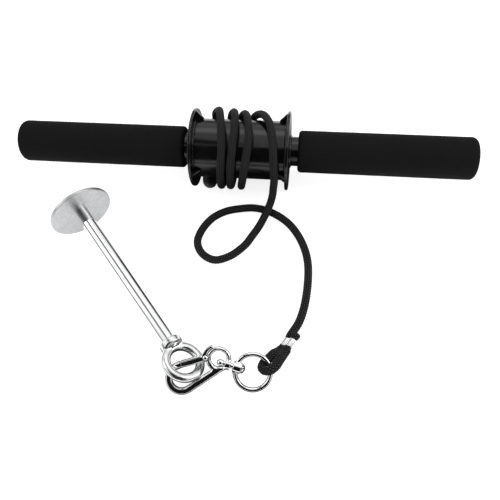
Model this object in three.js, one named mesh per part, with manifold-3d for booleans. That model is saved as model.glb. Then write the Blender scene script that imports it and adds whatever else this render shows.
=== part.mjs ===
// A wrist roller lying on a table: a bar with foam grips and a flanged drum, a braided rope wound
// on the drum, and a loading pin that hangs on the rope by a swivel snap hook.
// Millimetres, +Z up, the bar along X. The origin is under the middle of the bar and pin, on the table.
import * as THREE from "three";
import { mergeVertices } from "three/addons/utils/BufferGeometryUtils.js";
import Module from "manifold-3d";

const wasm = await Module();
wasm.setup();

const DEGREE = Math.PI / 180;
const TURN = 360;

// Fits
const CLEARANCE = 0.3; // seating and running gap between neighbours
const OVERRUN = 1; // how far a cut runs past the face that it opens
const WELD_TOLERANCE = 1e-4; // vertices this close are one vertex

// Facets
const ROUND_STEPS = 48;
const DRUM_STEPS = 60;
const SMALL_STEPS = 20;
const ARC_STEPS = 5;
const ROPE_SIDES = 10;

// Bar
const TUBE_DIAMETER = 25.4;
const TUBE_WALL = 2;
const GRIP_LENGTH = 150;
const NECK_LENGTH = 6.5; // of bare tube between flange and grip
const GRIP_DIAMETER = 36.2;
const GRIP_END_WALL = 4;
const GRIP_OUTER_ROUND = 5;
const GRIP_INNER_ROUND = 3;

// Drum
const DRUM_DIAMETER = 51;
const DRUM_WALL = 2;
const FLANGE_HEIGHT = 8.5; // of their rims over the drum
const FLANGE_THICKNESS = 3;
const FLANGE_SPACING = 80; // between the inner faces
const FLANGE_EDGE_ROUND = 0.6;
const GUSSETS_PER_FLANGE = 3;
const GUSSET_START_ANGLE = 60; // from +Y towards +Z
const GUSSET_LENGTH = 6.2; // along the drum
const GUSSET_MARGIN = 1; // from its tall edge to the flange's rim
const GUSSET_THICKNESS = 3;
const GUSSET_NOSE = 1.6; // height of its low edge

// Lug that holds the rope's end
const LUG_WIDTH = 12.6;
const LUG_HEIGHT = 9.5;
const LUG_THICKNESS = 6;
const LUG_X = -27;

// Rope
const ROPE_DIAMETER = 6.5;
const TABLE_GAP = 0.05;
const WINDING_SIDES = 6;
const WINDING_STEPS_PER_TURN = 24;
const FREE_STEPS = 40;
const EYE_STEPS = 34;
const TAIL_STEPS = 2;
const TAIL_LENGTH = 5.5;

// Where the rope lies on the drum: [degrees from +Y over the top, X]
const WINDING_ROUTE = [
  [-122, -27], [-90, -27], [0, -27], [20, -26], [43, -21], [90, -15.5], [129, -13.2],
  [157, -14], [216, -16.5], [270, -17], [360, -13.5], [380, -11.5], [403, -7.8], [430, -5],
  [466, -3.8], [517, -5.6], [576, -8.4], [640, -8.5], [720, -4], [740, -2], [763, 1.4],
  [790, 4.5], [826, 7], [877, 2.9], [936, -0.3], [990, 0], [1080, 5.5], [1100, 9],
  [1123, 14.9], [1150, 21], [1170, 24.5], [1209, 27.6], [1240, 29],
];

// Where the rope lies after it leaves the drum: [X, Y from the bar's axis, Z of its centre]
const FREE_ROUTE = [
  [29.7, -33, 27.5], [29.3, -36.6, 20], [28, -41.2, 14.2], [25.6, -47.8, 9.9], [22.4, -54.6, 6.3],
  [19.2, -61, 4.1], [14.6, -69.5, 3.5], [9.1, -79.4, 3.4], [-2.6, -91, 3.4], [-14.8, -95.7, 3.4],
  [-23.9, -92.4, 3.4], [-29.8, -86, 3.4], [-32.4, -78, 3.4], [-31.3, -70, 3.4], [-27.5, -60.3, 3.4],
  [-20.7, -50.9, 3.4], [-10.7, -44.5, 3.4], [0.6, -41.4, 3.4], [12.3, -40.9, 3.4], [24, -42.8, 3.4],
  [36, -48.5, 3.4], [46.2, -56.7, 3.4], [54.7, -68.4, 3.4], [60.4, -80.9, 3.4], [63.3, -92.3, 3.4],
  [64.3, -104.5, 3.4], [63.9, -121, 3.4], [62, -136, 3.4], [58.8, -147.5, 3.4],
];

// Ferrule: two oval lobes side by side
const FERRULE_LENGTH = 7.2;
const LOBE_WIDTH = 7.2;
const LOBE_HEIGHT = 5.8;
const LOBE_SPACING = 6.9;
const FERRULE_X = 51.6;
const FERRULE_Y = -165.8;
const FERRULE_HEADING = 61.2; // of its axis, from +X towards +Y
const FERRULE_LEAN = 48; // of its lobes, out of the table's plane

// Rope eye, from the ring's wire: [towards the ferrule, across], seen square to its plane
const EYE_LEAN = 30;
const EYE_STRAIGHT = 3.5; // square to the ferrule's face
const EYE_ROUTE = [
  [11.5, -5.4], [6, -6.3], [0, -6.5], [-4, -4.9], [-5.9, 0], [-4.4, 4.9], [0, 6.5], [6, 6.3],
  [11.5, 5.4],
];

// Swivel ring
const RING_RADIUS = 13.4; // of the wire's centreline
const RING_WIRE = 3.6;
const RING_TILT = 30;
const RING_FACING = -79.8; // heading of its upper face
const RING_HOLD_X = 38.8; // where the rope's eye holds the wire
const RING_HOLD_Y = -186;
const RING_HOLD_ANGLE = 17.4; // round the ring, from the level line
const STEM_ANGLE = 158;
const COLLAR_DIAMETER = 8.6;
const COLLAR_LENGTH = 6.4;
const COLLAR_OUTREACH = 2; // past the wire's centreline
const COLLAR_CHAMFER = 0.8;

// Stem
const STEM_DIAMETER = 3.8;
const STEM_EXPOSED = 2.4;
const DOME_DIAMETER = 7.6;
const DOME_HEIGHT = 2.6;
const BALL_DIAMETER = 5.5;

// Hook, in the plane of its bow
const BOW_HOLE_DIAMETER = 12;
const BOW_WALL = 3.5;
const BOW_OFFSET = 2.2; // of its centre from the stem's axis
const HOOK_THICKNESS = 4.6;
const BOSS_DIAMETER = 7.6;
const PIVOT_FORWARD = 9.8; // from the bow's centre, away from the ring
const PIVOT_DROP = 1.8;
const SPINE_ANGLE = 50;
const SPINE_DISTANCE = 12.8; // from the pivot to the spine's centreline
const SPINE_WIDTH = 4.4;
const SPINE_ROOT = 4; // it starts this far before the foot of the pivot's square line
const SPINE_REACH = 23.5;
const NOSE_RADIUS = 9.7;
const NOSE_END_ANGLE = 50;
const NOSE_TIP = 3.6;
const BAR_STEPS = 30;
const BAR_SIDES = 12;
const LUG_PLATE_THICKNESS = 1.2;
const LUG_PLATE_DIAMETER = 3.8;
const POST_THICKNESS = 3.2;
const POST_BOW_SIDE = 2.6; // its edges from the pivot's square line on the spine
const POST_GATE_SIDE = 1.4;

// Gate, its pin and its spring
const GATE_WIDTH = 4.6;
const GATE_THICKNESS = 5.6;
const GATE_CHEEK = 1;
const GATE_ROOF = 0.7; // over the lug
const GATE_CHANNEL_LENGTH = 6.5;
const GATE_GAP = 0.35;
const LEVER_START_ANGLE = -4; // round the bow
const LEVER_END_ANGLE = 47;
const LEVER_ROOT_WIDTH = 3;
const LEVER_TIP_WIDTH = 1.4;
const PIN_DIAMETER = 1.6;
const PIN_HEAD_DIAMETER = 3.9;
const PIN_HEAD_HEIGHT = 0.9;
const SPRING_WIRE = 0.4;
const SPRING_TURNS = 1.25;
const SPRING_STEPS_PER_TURN = 8;
const SPRING_SIDES = 5;

// Eye nut
const EYE_SIDES = 14;
const EYE_RADIUS = 13.5; // of the section's centreline
const EYE_WIRE = 7;
const EYE_SEAT_ALONG = 12.9; // from the foot of the pivot's square line, along the spine
const EYE_SEAT_GAP = 0.45;
const EYE_SEAT_ANGLE = 13.75; // round the eye, from the rod's line
const EYE_ROLL_ANGLE = -27.9;
const NUT_REACH = 20.5; // from the eye's centre to the nut's top face
const NUT_DIAMETER = 18;
const NUT_TOP_DIAMETER = 14;
const NUT_NECK_DIAMETER = 13;
const NUT_HEIGHT = 6;
const NUT_BORE_DEPTH = 8;

// Loading pin
const ROD_DIAMETER = 12;
const STUD_DIAMETER = 9.5; // the rod's turned end in the nut
const ROD_EXPOSED = 138.5;
const ROD_CHAMFER = 0.8;
const PLATE_DIAMETER = 54;
const PLATE_THICKNESS = 3;
const PLATE_EDGE_ROUND = 0.5;
const PIN_HEADING_ANGLE = -48.7;
const SLOPE_PASSES = 8; // rounds that settle the rod's slope

const FINISHES = {
  foam: { color: 0x0b0b0c, roughness: 0.92, metalness: 0 },
  blackPaint: { color: 0x050506, roughness: 0.22, metalness: 0.35 },
  rope: { color: 0x111112, roughness: 0.8, metalness: 0 },
  chrome: { color: 0xdadcde, roughness: 0.12, metalness: 1 },
  brushedSteel: { color: 0xc4c6c8, roughness: 0.42, metalness: 1 },
  aluminium: { color: 0xcfd1d3, roughness: 0.3, metalness: 1 },
  springSteel: { color: 0x8f9194, roughness: 0.35, metalness: 1 },
};

// A closed solid from a closed mesh, with its shared vertices merged.
function solid(geometry) {
  const faces = geometry.index ? geometry.toNonIndexed() : geometry;
  const bare = new THREE.BufferGeometry().setAttribute("position", faces.getAttribute("position"));
  const merged = mergeVertices(bare, WELD_TOLERANCE);
  return new wasm.Manifold(
    new wasm.Mesh({
      numProp: 3,
      vertProperties: merged.attributes.position.array,
      triVerts: new Uint32Array(merged.index.array),
    }),
  );
}

function joined(...solids) {
  return solids.reduce((sum, next) => sum.add(next));
}

// A named mesh of a solid, with flat shading from its own faces.
function piece(name, shape, finish) {
  const mesh = shape.getMesh();
  const geometry = new THREE.BufferGeometry();
  geometry.setAttribute("position", new THREE.BufferAttribute(mesh.vertProperties, 3));
  geometry.setIndex(new THREE.BufferAttribute(mesh.triVerts, 1));
  const flat = geometry.toNonIndexed();
  flat.computeVertexNormals();
  const made = new THREE.Mesh(flat, new THREE.MeshStandardMaterial(FINISHES[finish]));
  made.name = name;
  return made;
}

// Points on an arc of a profile, from one angle to another.
function arc(centreX, centreY, radius, from, to, steps = ARC_STEPS) {
  return Array.from({ length: steps + 1 }, (_, i) => {
    const angle = (from + ((to - from) * i) / steps) * DEGREE;
    return [centreX + radius * Math.cos(angle), centreY + radius * Math.sin(angle)];
  });
}

// A solid turned about the X axis, from [place along X, radius] points.
// They make a closed ring, or start and end on the axis.
function turned(points, steps = ROUND_STEPS) {
  const profile = points.map(([along, radius]) => new THREE.Vector2(Math.max(radius, 0), along));
  if (THREE.ShapeUtils.area(profile) < 0) profile.reverse();
  if (points.every(([, radius]) => radius > WELD_TOLERANCE)) profile.push(profile[0].clone());
  return solid(new THREE.LatheGeometry(profile, steps).rotateZ(-Math.PI / 2));
}

// A round bar about the X axis.
function rod(from, to, radius, steps = SMALL_STEPS) {
  return turned([[from, 0], [from, radius], [to, radius], [to, 0]], steps);
}

function polygon(points) {
  return new THREE.Shape(points.map(([x, y]) => new THREE.Vector2(x, y)));
}

// An outline in the XY plane made thick along Z, with its middle at z = 0.
function slab(outline, thickness) {
  const geometry = new THREE.ExtrudeGeometry(outline, { depth: thickness, bevelEnabled: false });
  return solid(geometry.translate(0, 0, -thickness / 2));
}

function ovalOutline(halfX, halfY, sides) {
  return polygon(
    Array.from({ length: sides }, (_, i) => {
      const angle = (i / sides) * TURN * DEGREE;
      return [halfX * Math.cos(angle), halfY * Math.sin(angle)];
    }),
  );
}

function swept(outline, curve, steps) {
  return solid(new THREE.ExtrudeGeometry(outline, { steps, extrudePath: curve }));
}

// A tube through rings of points, closed by a fan at each end.
function tubeThrough(centres, acrosses, radius, sides) {
  const positions = [];
  const faces = [];
  centres.forEach((centre, i) => {
    const ahead = centres[Math.min(i + 1, centres.length - 1)].clone();
    const tangent = ahead.sub(centres[Math.max(i - 1, 0)]).normalize();
    const out = acrosses[i].clone().addScaledVector(tangent, -acrosses[i].dot(tangent)).normalize();
    const side = new THREE.Vector3().crossVectors(tangent, out);
    for (let j = 0; j < sides; j += 1) {
      const angle = ((j + 1 / 2) / sides) * TURN * DEGREE; // a flat side faces the drum
      const point = centre.clone().addScaledVector(out, radius * Math.cos(angle));
      positions.push(...point.addScaledVector(side, radius * Math.sin(angle)).toArray());
    }
  });
  const last = centres.length - 1;
  for (let i = 0; i < last; i += 1) {
    for (let j = 0; j < sides; j += 1) {
      const a = i * sides + j;
      const b = i * sides + ((j + 1) % sides);
      faces.push(a, b, b + sides, a, b + sides, a + sides);
    }
  }
  for (let j = 1; j < sides - 1; j += 1) {
    faces.push(0, j + 1, j, last * sides, last * sides + j, last * sides + j + 1);
  }
  const geometry = new THREE.BufferGeometry();
  geometry.setAttribute("position", new THREE.Float32BufferAttribute(positions, 3));
  geometry.setIndex(faces);
  return solid(geometry);
}

// The least gap between parts of a round strand that lie more than a stretch apart along it.
function leastGap(points, diameter, stretch) {
  let least = Infinity;
  const along = [0];
  points.slice(1).forEach((point, i) => along.push(along[i] + point.distanceTo(points[i])));
  points.forEach((point, i) => {
    for (let j = i + 1; j < points.length; j += 1) {
      if (along[j] - along[i] > stretch) least = Math.min(least, point.distanceTo(points[j]));
    }
  });
  return least - diameter;
}

// A value read off a route of [place, value] points by a smooth curve through them.
function readRoute(route, place) {
  const next = route.findIndex(([p]) => p > place);
  const i = next < 0 ? route.length - 2 : Math.max(0, next - 1);
  const slopeAt = (k) => {
    const [p0, v0] = route[Math.max(k - 1, 0)];
    const [p1, v1] = route[Math.min(k + 1, route.length - 1)];
    return (v1 - v0) / (p1 - p0);
  };
  const [from, startValue] = route[i];
  const [to, endValue] = route[i + 1];
  const span = to - from;
  const t = (place - from) / span;
  const rise = endValue - startValue;
  const bend = slopeAt(i) * span;
  const unbend = slopeAt(i + 1) * span;
  return startValue + t * (bend + t * (3 * rise - 2 * bend - unbend + t * (bend + unbend - 2 * rise)));
}

function frameOf(xAxis, yAxis, origin) {
  const zAxis = new THREE.Vector3().crossVectors(xAxis, yAxis);
  return new THREE.Matrix4().makeBasis(xAxis, yAxis, zAxis).setPosition(origin);
}

function groupAt(matrix, ...children) {
  const group = new THREE.Group();
  group.applyMatrix4(matrix);
  group.add(...children);
  return group;
}

const tubeRadius = TUBE_DIAMETER / 2;
const gripRadius = GRIP_DIAMETER / 2;
const drumRadius = DRUM_DIAMETER / 2;
const flangeRadius = drumRadius + FLANGE_HEIGHT;
const ropeRadius = ROPE_DIAMETER / 2;
const flangeInner = FLANGE_SPACING / 2;
const gripInner = flangeInner + FLANGE_THICKNESS + NECK_LENGTH;
const barEnd = gripInner + GRIP_LENGTH;
const axisHeight = flangeRadius;

function coreTube() {
  const end = barEnd - GRIP_END_WALL - CLEARANCE;
  const bore = tubeRadius - TUBE_WALL;
  return turned([[-end, bore], [-end, tubeRadius], [end, tubeRadius], [end, bore]]);
}

// A foam sleeve with rounded ends, closed at its outer end.
function grip() {
  const bore = tubeRadius + CLEARANCE;
  return turned([
    [barEnd - GRIP_END_WALL, 0],
    [barEnd - GRIP_END_WALL, bore],
    [gripInner, bore],
    ...arc(gripInner + GRIP_INNER_ROUND, gripRadius - GRIP_INNER_ROUND, GRIP_INNER_ROUND, 180, 90),
    ...arc(barEnd - GRIP_OUTER_ROUND, gripRadius - GRIP_OUTER_ROUND, GRIP_OUTER_ROUND, 90, 0),
    [barEnd, 0],
  ]);
}

function drumBarrel() {
  const end = flangeInner - CLEARANCE;
  const bore = drumRadius - DRUM_WALL;
  return turned([[-end, bore], [-end, drumRadius], [end, drumRadius], [end, bore]], DRUM_STEPS);
}

// A disc with eased edges, bored for the tube.
function flange() {
  const outer = flangeInner + FLANGE_THICKNESS;
  const bore = tubeRadius + CLEARANCE;
  const eased = flangeRadius - FLANGE_EDGE_ROUND;
  return turned([
    [flangeInner, bore],
    [flangeInner, eased],
    [flangeInner + FLANGE_EDGE_ROUND, flangeRadius],
    [outer - FLANGE_EDGE_ROUND, flangeRadius],
    [outer, eased],
    [outer, bore],
  ], DRUM_STEPS);
}

// A triangular web in the corner between drum and right flange, standing up along +Z.
function gusset() {
  const heel = flangeInner - CLEARANCE;
  const base = drumRadius - DRUM_WALL;
  const top = flangeRadius - GUSSET_MARGIN;
  const low = drumRadius + CLEARANCE + GUSSET_NOSE;
  const toe = heel - GUSSET_LENGTH;
  const outline = polygon([[toe, base], [heel, base], [heel, top], [toe, low]]);
  const web = slab(outline, GUSSET_THICKNESS).rotate([90, 0, 0]);
  return web.subtract(rod(-barEnd, barEnd, drumRadius + CLEARANCE, DRUM_STEPS));
}

// The lug stands on the drum, its flat face square to the rope's first straight stretch.
function ropeAnchor() {
  const half = LUG_WIDTH / 2;
  const back = ROPE_DIAMETER + CLEARANCE + LUG_THICKNESS / 2;
  const top = Math.sqrt(drumRadius ** 2 - back ** 2) + LUG_HEIGHT;
  const outline = polygon([[-half, 0], [half, 0], ...arc(0, top - half, half, 0, 180, 2 * ARC_STEPS)]);
  return slab(outline, LUG_THICKNESS)
    .rotate([90, 0, 0])
    .translate([0, back, 0])
    .subtract(rod(-barEnd, barEnd, drumRadius + CLEARANCE, DRUM_STEPS));
}

// Points of the winding: a straight stretch, the turns, and a straight stretch.
function windingPath() {
  const radius = drumRadius + CLEARANCE + ropeRadius;
  const start = WINDING_ROUTE[0][0];
  const end = WINDING_ROUTE[WINDING_ROUTE.length - 1][0];
  const steps = Math.round(((end - start) / TURN) * WINDING_STEPS_PER_TURN);
  const centres = [];
  const outs = [];
  for (let i = 0; i <= steps; i += 1) {
    const degrees = start + ((end - start) * i) / steps;
    const angle = degrees * DEGREE;
    const out = new THREE.Vector3(0, Math.cos(angle), Math.sin(angle));
    outs.push(out);
    centres.push(out.clone().multiplyScalar(radius).setX(readRoute(WINDING_ROUTE, degrees)));
  }
  const firstWay = new THREE.Vector3(0, -outs[0].z, outs[0].y);
  const lastWay = centres[steps].clone().sub(centres[steps - 1]).normalize();
  const square = new THREE.Vector3(0, -outs[steps].z, outs[steps].y);
  lastWay.copy(square.setX(lastWay.x)).normalize();
  centres.unshift(centres[0].clone().addScaledVector(firstWay, -ROPE_DIAMETER));
  outs.unshift(outs[0]);
  centres.push(centres[steps + 1].clone().addScaledVector(lastWay, ROPE_DIAMETER));
  outs.push(outs[steps + 1]);
  return { centres, outs, lastWay };
}

const bar = new THREE.Group();
bar.position.z = axisHeight;
bar.add(
  piece("core_tube", coreTube(), "blackPaint"),
  piece("drum_barrel", drumBarrel(), "blackPaint"),
  piece("flange_right", flange(), "blackPaint"),
  piece("flange_left", flange().mirror([1, 0, 0]), "blackPaint"),
  piece("grip_right", grip(), "foam"),
  piece("grip_left", grip().mirror([1, 0, 0]), "foam"),
);
for (let i = 0; i < GUSSETS_PER_FLANGE; i += 1) {
  const angle = GUSSET_START_ANGLE + (i * TURN) / GUSSETS_PER_FLANGE;
  const web = gusset().rotate([angle - TURN / 4, 0, 0]);
  bar.add(piece(`gusset_right_${i + 1}`, web, "blackPaint"));
  bar.add(piece(`gusset_left_${i + 1}`, web.mirror([1, 0, 0]), "blackPaint"));
}

const winding = windingPath();
const lugAngle = WINDING_ROUTE[0][0] - TURN / 4;
bar.add(
  piece("rope_anchor", ropeAnchor().rotate([lugAngle, 0, 0]).translate([LUG_X, 0, 0]), "blackPaint"),
  piece("rope_winding", tubeThrough(winding.centres, winding.outs, ropeRadius, WINDING_SIDES), "rope"),
);
const turnStretch = Math.PI * drumRadius;
const windingGap = leastGap(winding.centres, ROPE_DIAMETER, turnStretch);
console.log(`rope winding: least gap to itself ${windingGap.toFixed(2)} mm`);

// Ferrule frame: X along its axis away from the ring, Y from the low lobe to the high one.
const ferruleHeading = FERRULE_HEADING * DEGREE;
const ferruleLean = FERRULE_LEAN * DEGREE;
const ferruleAxis = new THREE.Vector3(Math.cos(ferruleHeading), Math.sin(ferruleHeading), 0);
const ferruleAcross = new THREE.Vector3(ferruleAxis.y, -ferruleAxis.x, 0)
  .multiplyScalar(Math.cos(ferruleLean))
  .setZ(Math.sin(ferruleLean));
const halfSpacing = LOBE_SPACING / 2;
const lobeDrop = Math.hypot(
  (LOBE_WIDTH / 2) * Math.sin(ferruleLean),
  (LOBE_HEIGHT / 2) * Math.cos(ferruleLean),
);
const ferruleHeight = Math.max(ropeRadius, lobeDrop) + TABLE_GAP + halfSpacing * ferruleAcross.z;
const ferruleCentre = new THREE.Vector3(FERRULE_X, FERRULE_Y, ferruleHeight);

// A point by the ferrule: a distance along its axis from its middle, at the low (-1) or high (1) lobe.
function byFerrule(along, lobe) {
  return ferruleCentre
    .clone()
    .addScaledVector(ferruleAxis, along)
    .addScaledVector(ferruleAcross, lobe * halfSpacing);
}

function ferrule() {
  const lobe = slab(ovalOutline(LOBE_WIDTH / 2, LOBE_HEIGHT / 2, SMALL_STEPS), FERRULE_LENGTH);
  const low = lobe.translate([-halfSpacing, 0, 0]);
  return joined(low, lobe.translate([halfSpacing, 0, 0])).rotate([90, 0, 90]);
}

const ropeSection = ovalOutline(ropeRadius, ropeRadius, ROPE_SIDES);
const ferruleFace = FERRULE_LENGTH / 2 + CLEARANCE;

function freeStretch() {
  const axis = new THREE.Vector3(0, 0, axisHeight);
  const start = winding.centres[winding.centres.length - 1]
    .clone()
    .add(axis)
    .addScaledVector(winding.lastWay, CLEARANCE);
  const curve = new THREE.CatmullRomCurve3([
    start,
    start.clone().addScaledVector(winding.lastWay, ropeRadius),
    ...FREE_ROUTE.map((point) => new THREE.Vector3(...point)),
    byFerrule(ferruleFace + ROPE_DIAMETER, -1),
    byFerrule(ferruleFace, -1),
  ], false, "centripetal");
  curve.arcLengthDivisions = 10 * FREE_STEPS;
  return curve;
}

const freeCurve = freeStretch();
const freeGap = leastGap(freeCurve.getSpacedPoints(4 * FREE_STEPS), ROPE_DIAMETER, turnStretch);
const freeLength = freeCurve.getLength();
console.log(`free rope: ${freeLength.toFixed(0)} mm, least gap to itself ${freeGap.toFixed(2)} mm`);

// Ring frame: X level, Z square to the ring's plane.
const facing = RING_FACING * DEGREE;
const tilt = RING_TILT * DEGREE;
const ringNormal = new THREE.Vector3(
  Math.sin(tilt) * Math.cos(facing),
  Math.sin(tilt) * Math.sin(facing),
  Math.cos(tilt),
);
const ringLevel = new THREE.Vector3(-Math.sin(facing), Math.cos(facing), 0);
const ringRise = new THREE.Vector3().crossVectors(ringNormal, ringLevel);
const holdDirection = ringLevel
  .clone()
  .multiplyScalar(Math.cos(RING_HOLD_ANGLE * DEGREE))
  .addScaledVector(ringRise, Math.sin(RING_HOLD_ANGLE * DEGREE));
const ringCentre = new THREE.Vector3(
  RING_HOLD_X - RING_RADIUS * holdDirection.x,
  RING_HOLD_Y - RING_RADIUS * holdDirection.y,
  RING_RADIUS * Math.sin(tilt) + RING_WIRE / 2,
);
const holdPoint = ringCentre.clone().addScaledVector(holdDirection, RING_RADIUS);

// The rope's eye: from the low lobe round the ring's wire to the high lobe.
function eyeCurve() {
  const along = ferruleCentre.clone().sub(holdPoint).normalize();
  const level = new THREE.Vector3(along.y, -along.x, 0).normalize();
  const up = new THREE.Vector3().crossVectors(level, along);
  const across = level
    .multiplyScalar(Math.cos(EYE_LEAN * DEGREE))
    .addScaledVector(up, Math.sin(EYE_LEAN * DEGREE));
  const round = EYE_ROUTE.map(([ahead, aside]) =>
    holdPoint.clone().addScaledVector(along, ahead).addScaledVector(across, aside),
  );
  const square = -ferruleFace - EYE_STRAIGHT;
  return new THREE.CatmullRomCurve3([
    byFerrule(-ferruleFace, -1),
    byFerrule(square, -1),
    ...round,
    byFerrule(square, 1),
    byFerrule(-ferruleFace, 1),
  ], false, "centripetal");
}

function tailCurve() {
  return new THREE.LineCurve3(byFerrule(ferruleFace, 1), byFerrule(ferruleFace + TAIL_LENGTH, 1));
}

const rope = new THREE.Group();
const eye = eyeCurve();
const ferruleMesh = piece("ferrule", ferrule(), "aluminium");
ferruleMesh.applyMatrix4(frameOf(ferruleAxis, ferruleAcross, ferruleCentre));
rope.add(
  piece("rope_free_stretch", swept(ropeSection, freeCurve, FREE_STEPS), "rope"),
  piece("rope_eye", swept(ropeSection, eye, EYE_STEPS), "rope"),
  piece("rope_tail", swept(ropeSection, tailCurve(), TAIL_STEPS), "rope"),
  ferruleMesh,
);

const ringWireRadius = RING_WIRE / 2;
const collarOuter = RING_RADIUS + COLLAR_OUTREACH;
const collarInner = collarOuter - COLLAR_LENGTH;
const stemRadius = STEM_DIAMETER / 2;

// A wire ring whose collar is bored for the stem; the stem's axis is X.
function swivelRing() {
  const wire = solid(new THREE.TorusGeometry(RING_RADIUS, ringWireRadius, BAR_SIDES, ROUND_STEPS));
  const radius = COLLAR_DIAMETER / 2;
  const collar = turned([
    [collarInner, 0],
    [collarInner, radius - COLLAR_CHAMFER],
    [collarInner + COLLAR_CHAMFER, radius],
    [collarOuter - COLLAR_CHAMFER, radius],
    [collarOuter, radius - COLLAR_CHAMFER],
    [collarOuter, 0],
  ], SMALL_STEPS);
  const bore = rod(collarInner - OVERRUN, collarOuter + OVERRUN, stemRadius + CLEARANCE);
  return joined(wire, collar).subtract(bore);
}

const bowHoleRadius = BOW_HOLE_DIAMETER / 2;
const bowRadius = bowHoleRadius + BOW_WALL;
const bowCentreX = collarOuter + STEM_EXPOSED + bowRadius;

// The stem: a domed head inside the ring, a shaft, and a ball head inside the hook's bow.
function swivelStem() {
  const domeBase = collarInner - CLEARANCE;
  const domeRadius = DOME_DIAMETER / 2;
  const bulge = (domeRadius ** 2 + DOME_HEIGHT ** 2) / (2 * DOME_HEIGHT);
  const halfAngle = Math.asin(domeRadius / bulge) / DEGREE;
  const ballRadius = BALL_DIAMETER / 2;
  const ballPlay = bowHoleRadius - ballRadius - CLEARANCE; // from the bow's centre, seated on its wall
  const ballCentre = bowCentreX - Math.sqrt(ballPlay ** 2 - BOW_OFFSET ** 2);
  const neck = Math.asin(stemRadius / ballRadius) / DEGREE;
  return turned([
    ...arc(domeBase - DOME_HEIGHT + bulge, 0, bulge, 180, 180 - halfAngle),
    [domeBase, stemRadius],
    ...arc(ballCentre, 0, ballRadius, 180 - neck, 0, 2 * ARC_STEPS),
  ], SMALL_STEPS);
}

const spineWay = new THREE.Vector2(Math.cos(SPINE_ANGLE * DEGREE), -Math.sin(SPINE_ANGLE * DEGREE));
const spineSide = new THREE.Vector2(-spineWay.y, spineWay.x); // from the spine towards the gate
const pivot = new THREE.Vector2(PIVOT_FORWARD, -PIVOT_DROP);
const spineFoot = pivot.clone().addScaledVector(spineSide, -SPINE_DISTANCE);
const noseStart = spineFoot.clone().addScaledVector(spineWay, SPINE_REACH);
const noseCentre = noseStart.clone().addScaledVector(spineSide, NOSE_RADIUS);
const noseEndAngle = NOSE_END_ANGLE * DEGREE;
const noseSweep = noseEndAngle + Math.PI / 2 + SPINE_ANGLE * DEGREE;
const noseEnd = new THREE.Vector2(
  noseCentre.x + NOSE_RADIUS * Math.cos(noseEndAngle) - NOSE_TIP * Math.sin(noseEndAngle),
  noseCentre.y + NOSE_RADIUS * Math.sin(noseEndAngle) + NOSE_TIP * Math.cos(noseEndAngle),
);
const gateReach = pivot.distanceTo(noseEnd);
const gateAngle = Math.atan2(noseEnd.y - pivot.y, noseEnd.x - pivot.x) / DEGREE;

// The hook's bar: a straight spine, the nose's arc and a straight tip.
class HookBar extends THREE.Curve {
  getPoint(t, target = new THREE.Vector3()) {
    const straight = SPINE_ROOT + SPINE_REACH;
    const bend = NOSE_RADIUS * noseSweep;
    const place = t * (straight + bend + NOSE_TIP);
    if (place <= straight) {
      const onSpine = spineFoot.clone().addScaledVector(spineWay, place - SPINE_ROOT);
      return target.set(onSpine.x, onSpine.y, 0);
    }
    const turn = Math.min(place - straight, bend) / NOSE_RADIUS;
    const past = Math.max(0, place - straight - bend);
    const angle = turn - Math.PI / 2 - SPINE_ANGLE * DEGREE;
    return target.set(
      noseCentre.x + NOSE_RADIUS * Math.cos(angle) - past * Math.sin(angle),
      noseCentre.y + NOSE_RADIUS * Math.sin(angle) + past * Math.cos(angle),
      0,
    );
  }
}

const slotHalf = GATE_THICKNESS / 2 - GATE_CHEEK;
const lugBack = -slotHalf + CLEARANCE; // the lug runs beside one cheek, and the spring beside the other
const lugFront = lugBack + LUG_PLATE_THICKNESS;
const lugSlotRadius = LUG_PLATE_DIAMETER / 2 + CLEARANCE;
const heelRadius = lugSlotRadius + GATE_ROOF;

// A pin, cutter or washer about the gate's pivot, which stands square to the hook's plane.
function aboutPivot(shape) {
  return shape.rotate([0, -90, 0]).translate([pivot.x, pivot.y, 0]);
}

// A straight-sided block in the hook's plane, from one corner to the opposite one.
function block(fromX, fromY, toX, toY, thickness) {
  return slab(polygon([[fromX, fromY], [toX, fromY], [toX, toY], [fromX, toY]]), thickness);
}

// A round section in the hook's plane, swept round the bow's centre.
function bowRing() {
  const middle = bowRadius - BOW_WALL / 2;
  const section = arc(0, 0, 1, 0, TURN - TURN / BAR_SIDES, BAR_SIDES - 1).map(([x, y]) => [
    (HOOK_THICKNESS / 2) * x,
    middle + (BOW_WALL / 2) * y,
  ]);
  return turned(section).rotate([0, 90, 0]);
}

// The web that carries the gate's lug, from the spine to the pivot.
function hookPost() {
  const corner = (base, along) => {
    const point = base.clone().addScaledVector(spineWay, along);
    return [point.x, point.y];
  };
  return slab(polygon([
    corner(pivot, -POST_BOW_SIDE),
    corner(spineFoot, -POST_BOW_SIDE),
    corner(spineFoot, POST_GATE_SIDE),
    corner(pivot, POST_GATE_SIDE),
  ]), POST_THICKNESS);
}

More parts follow.
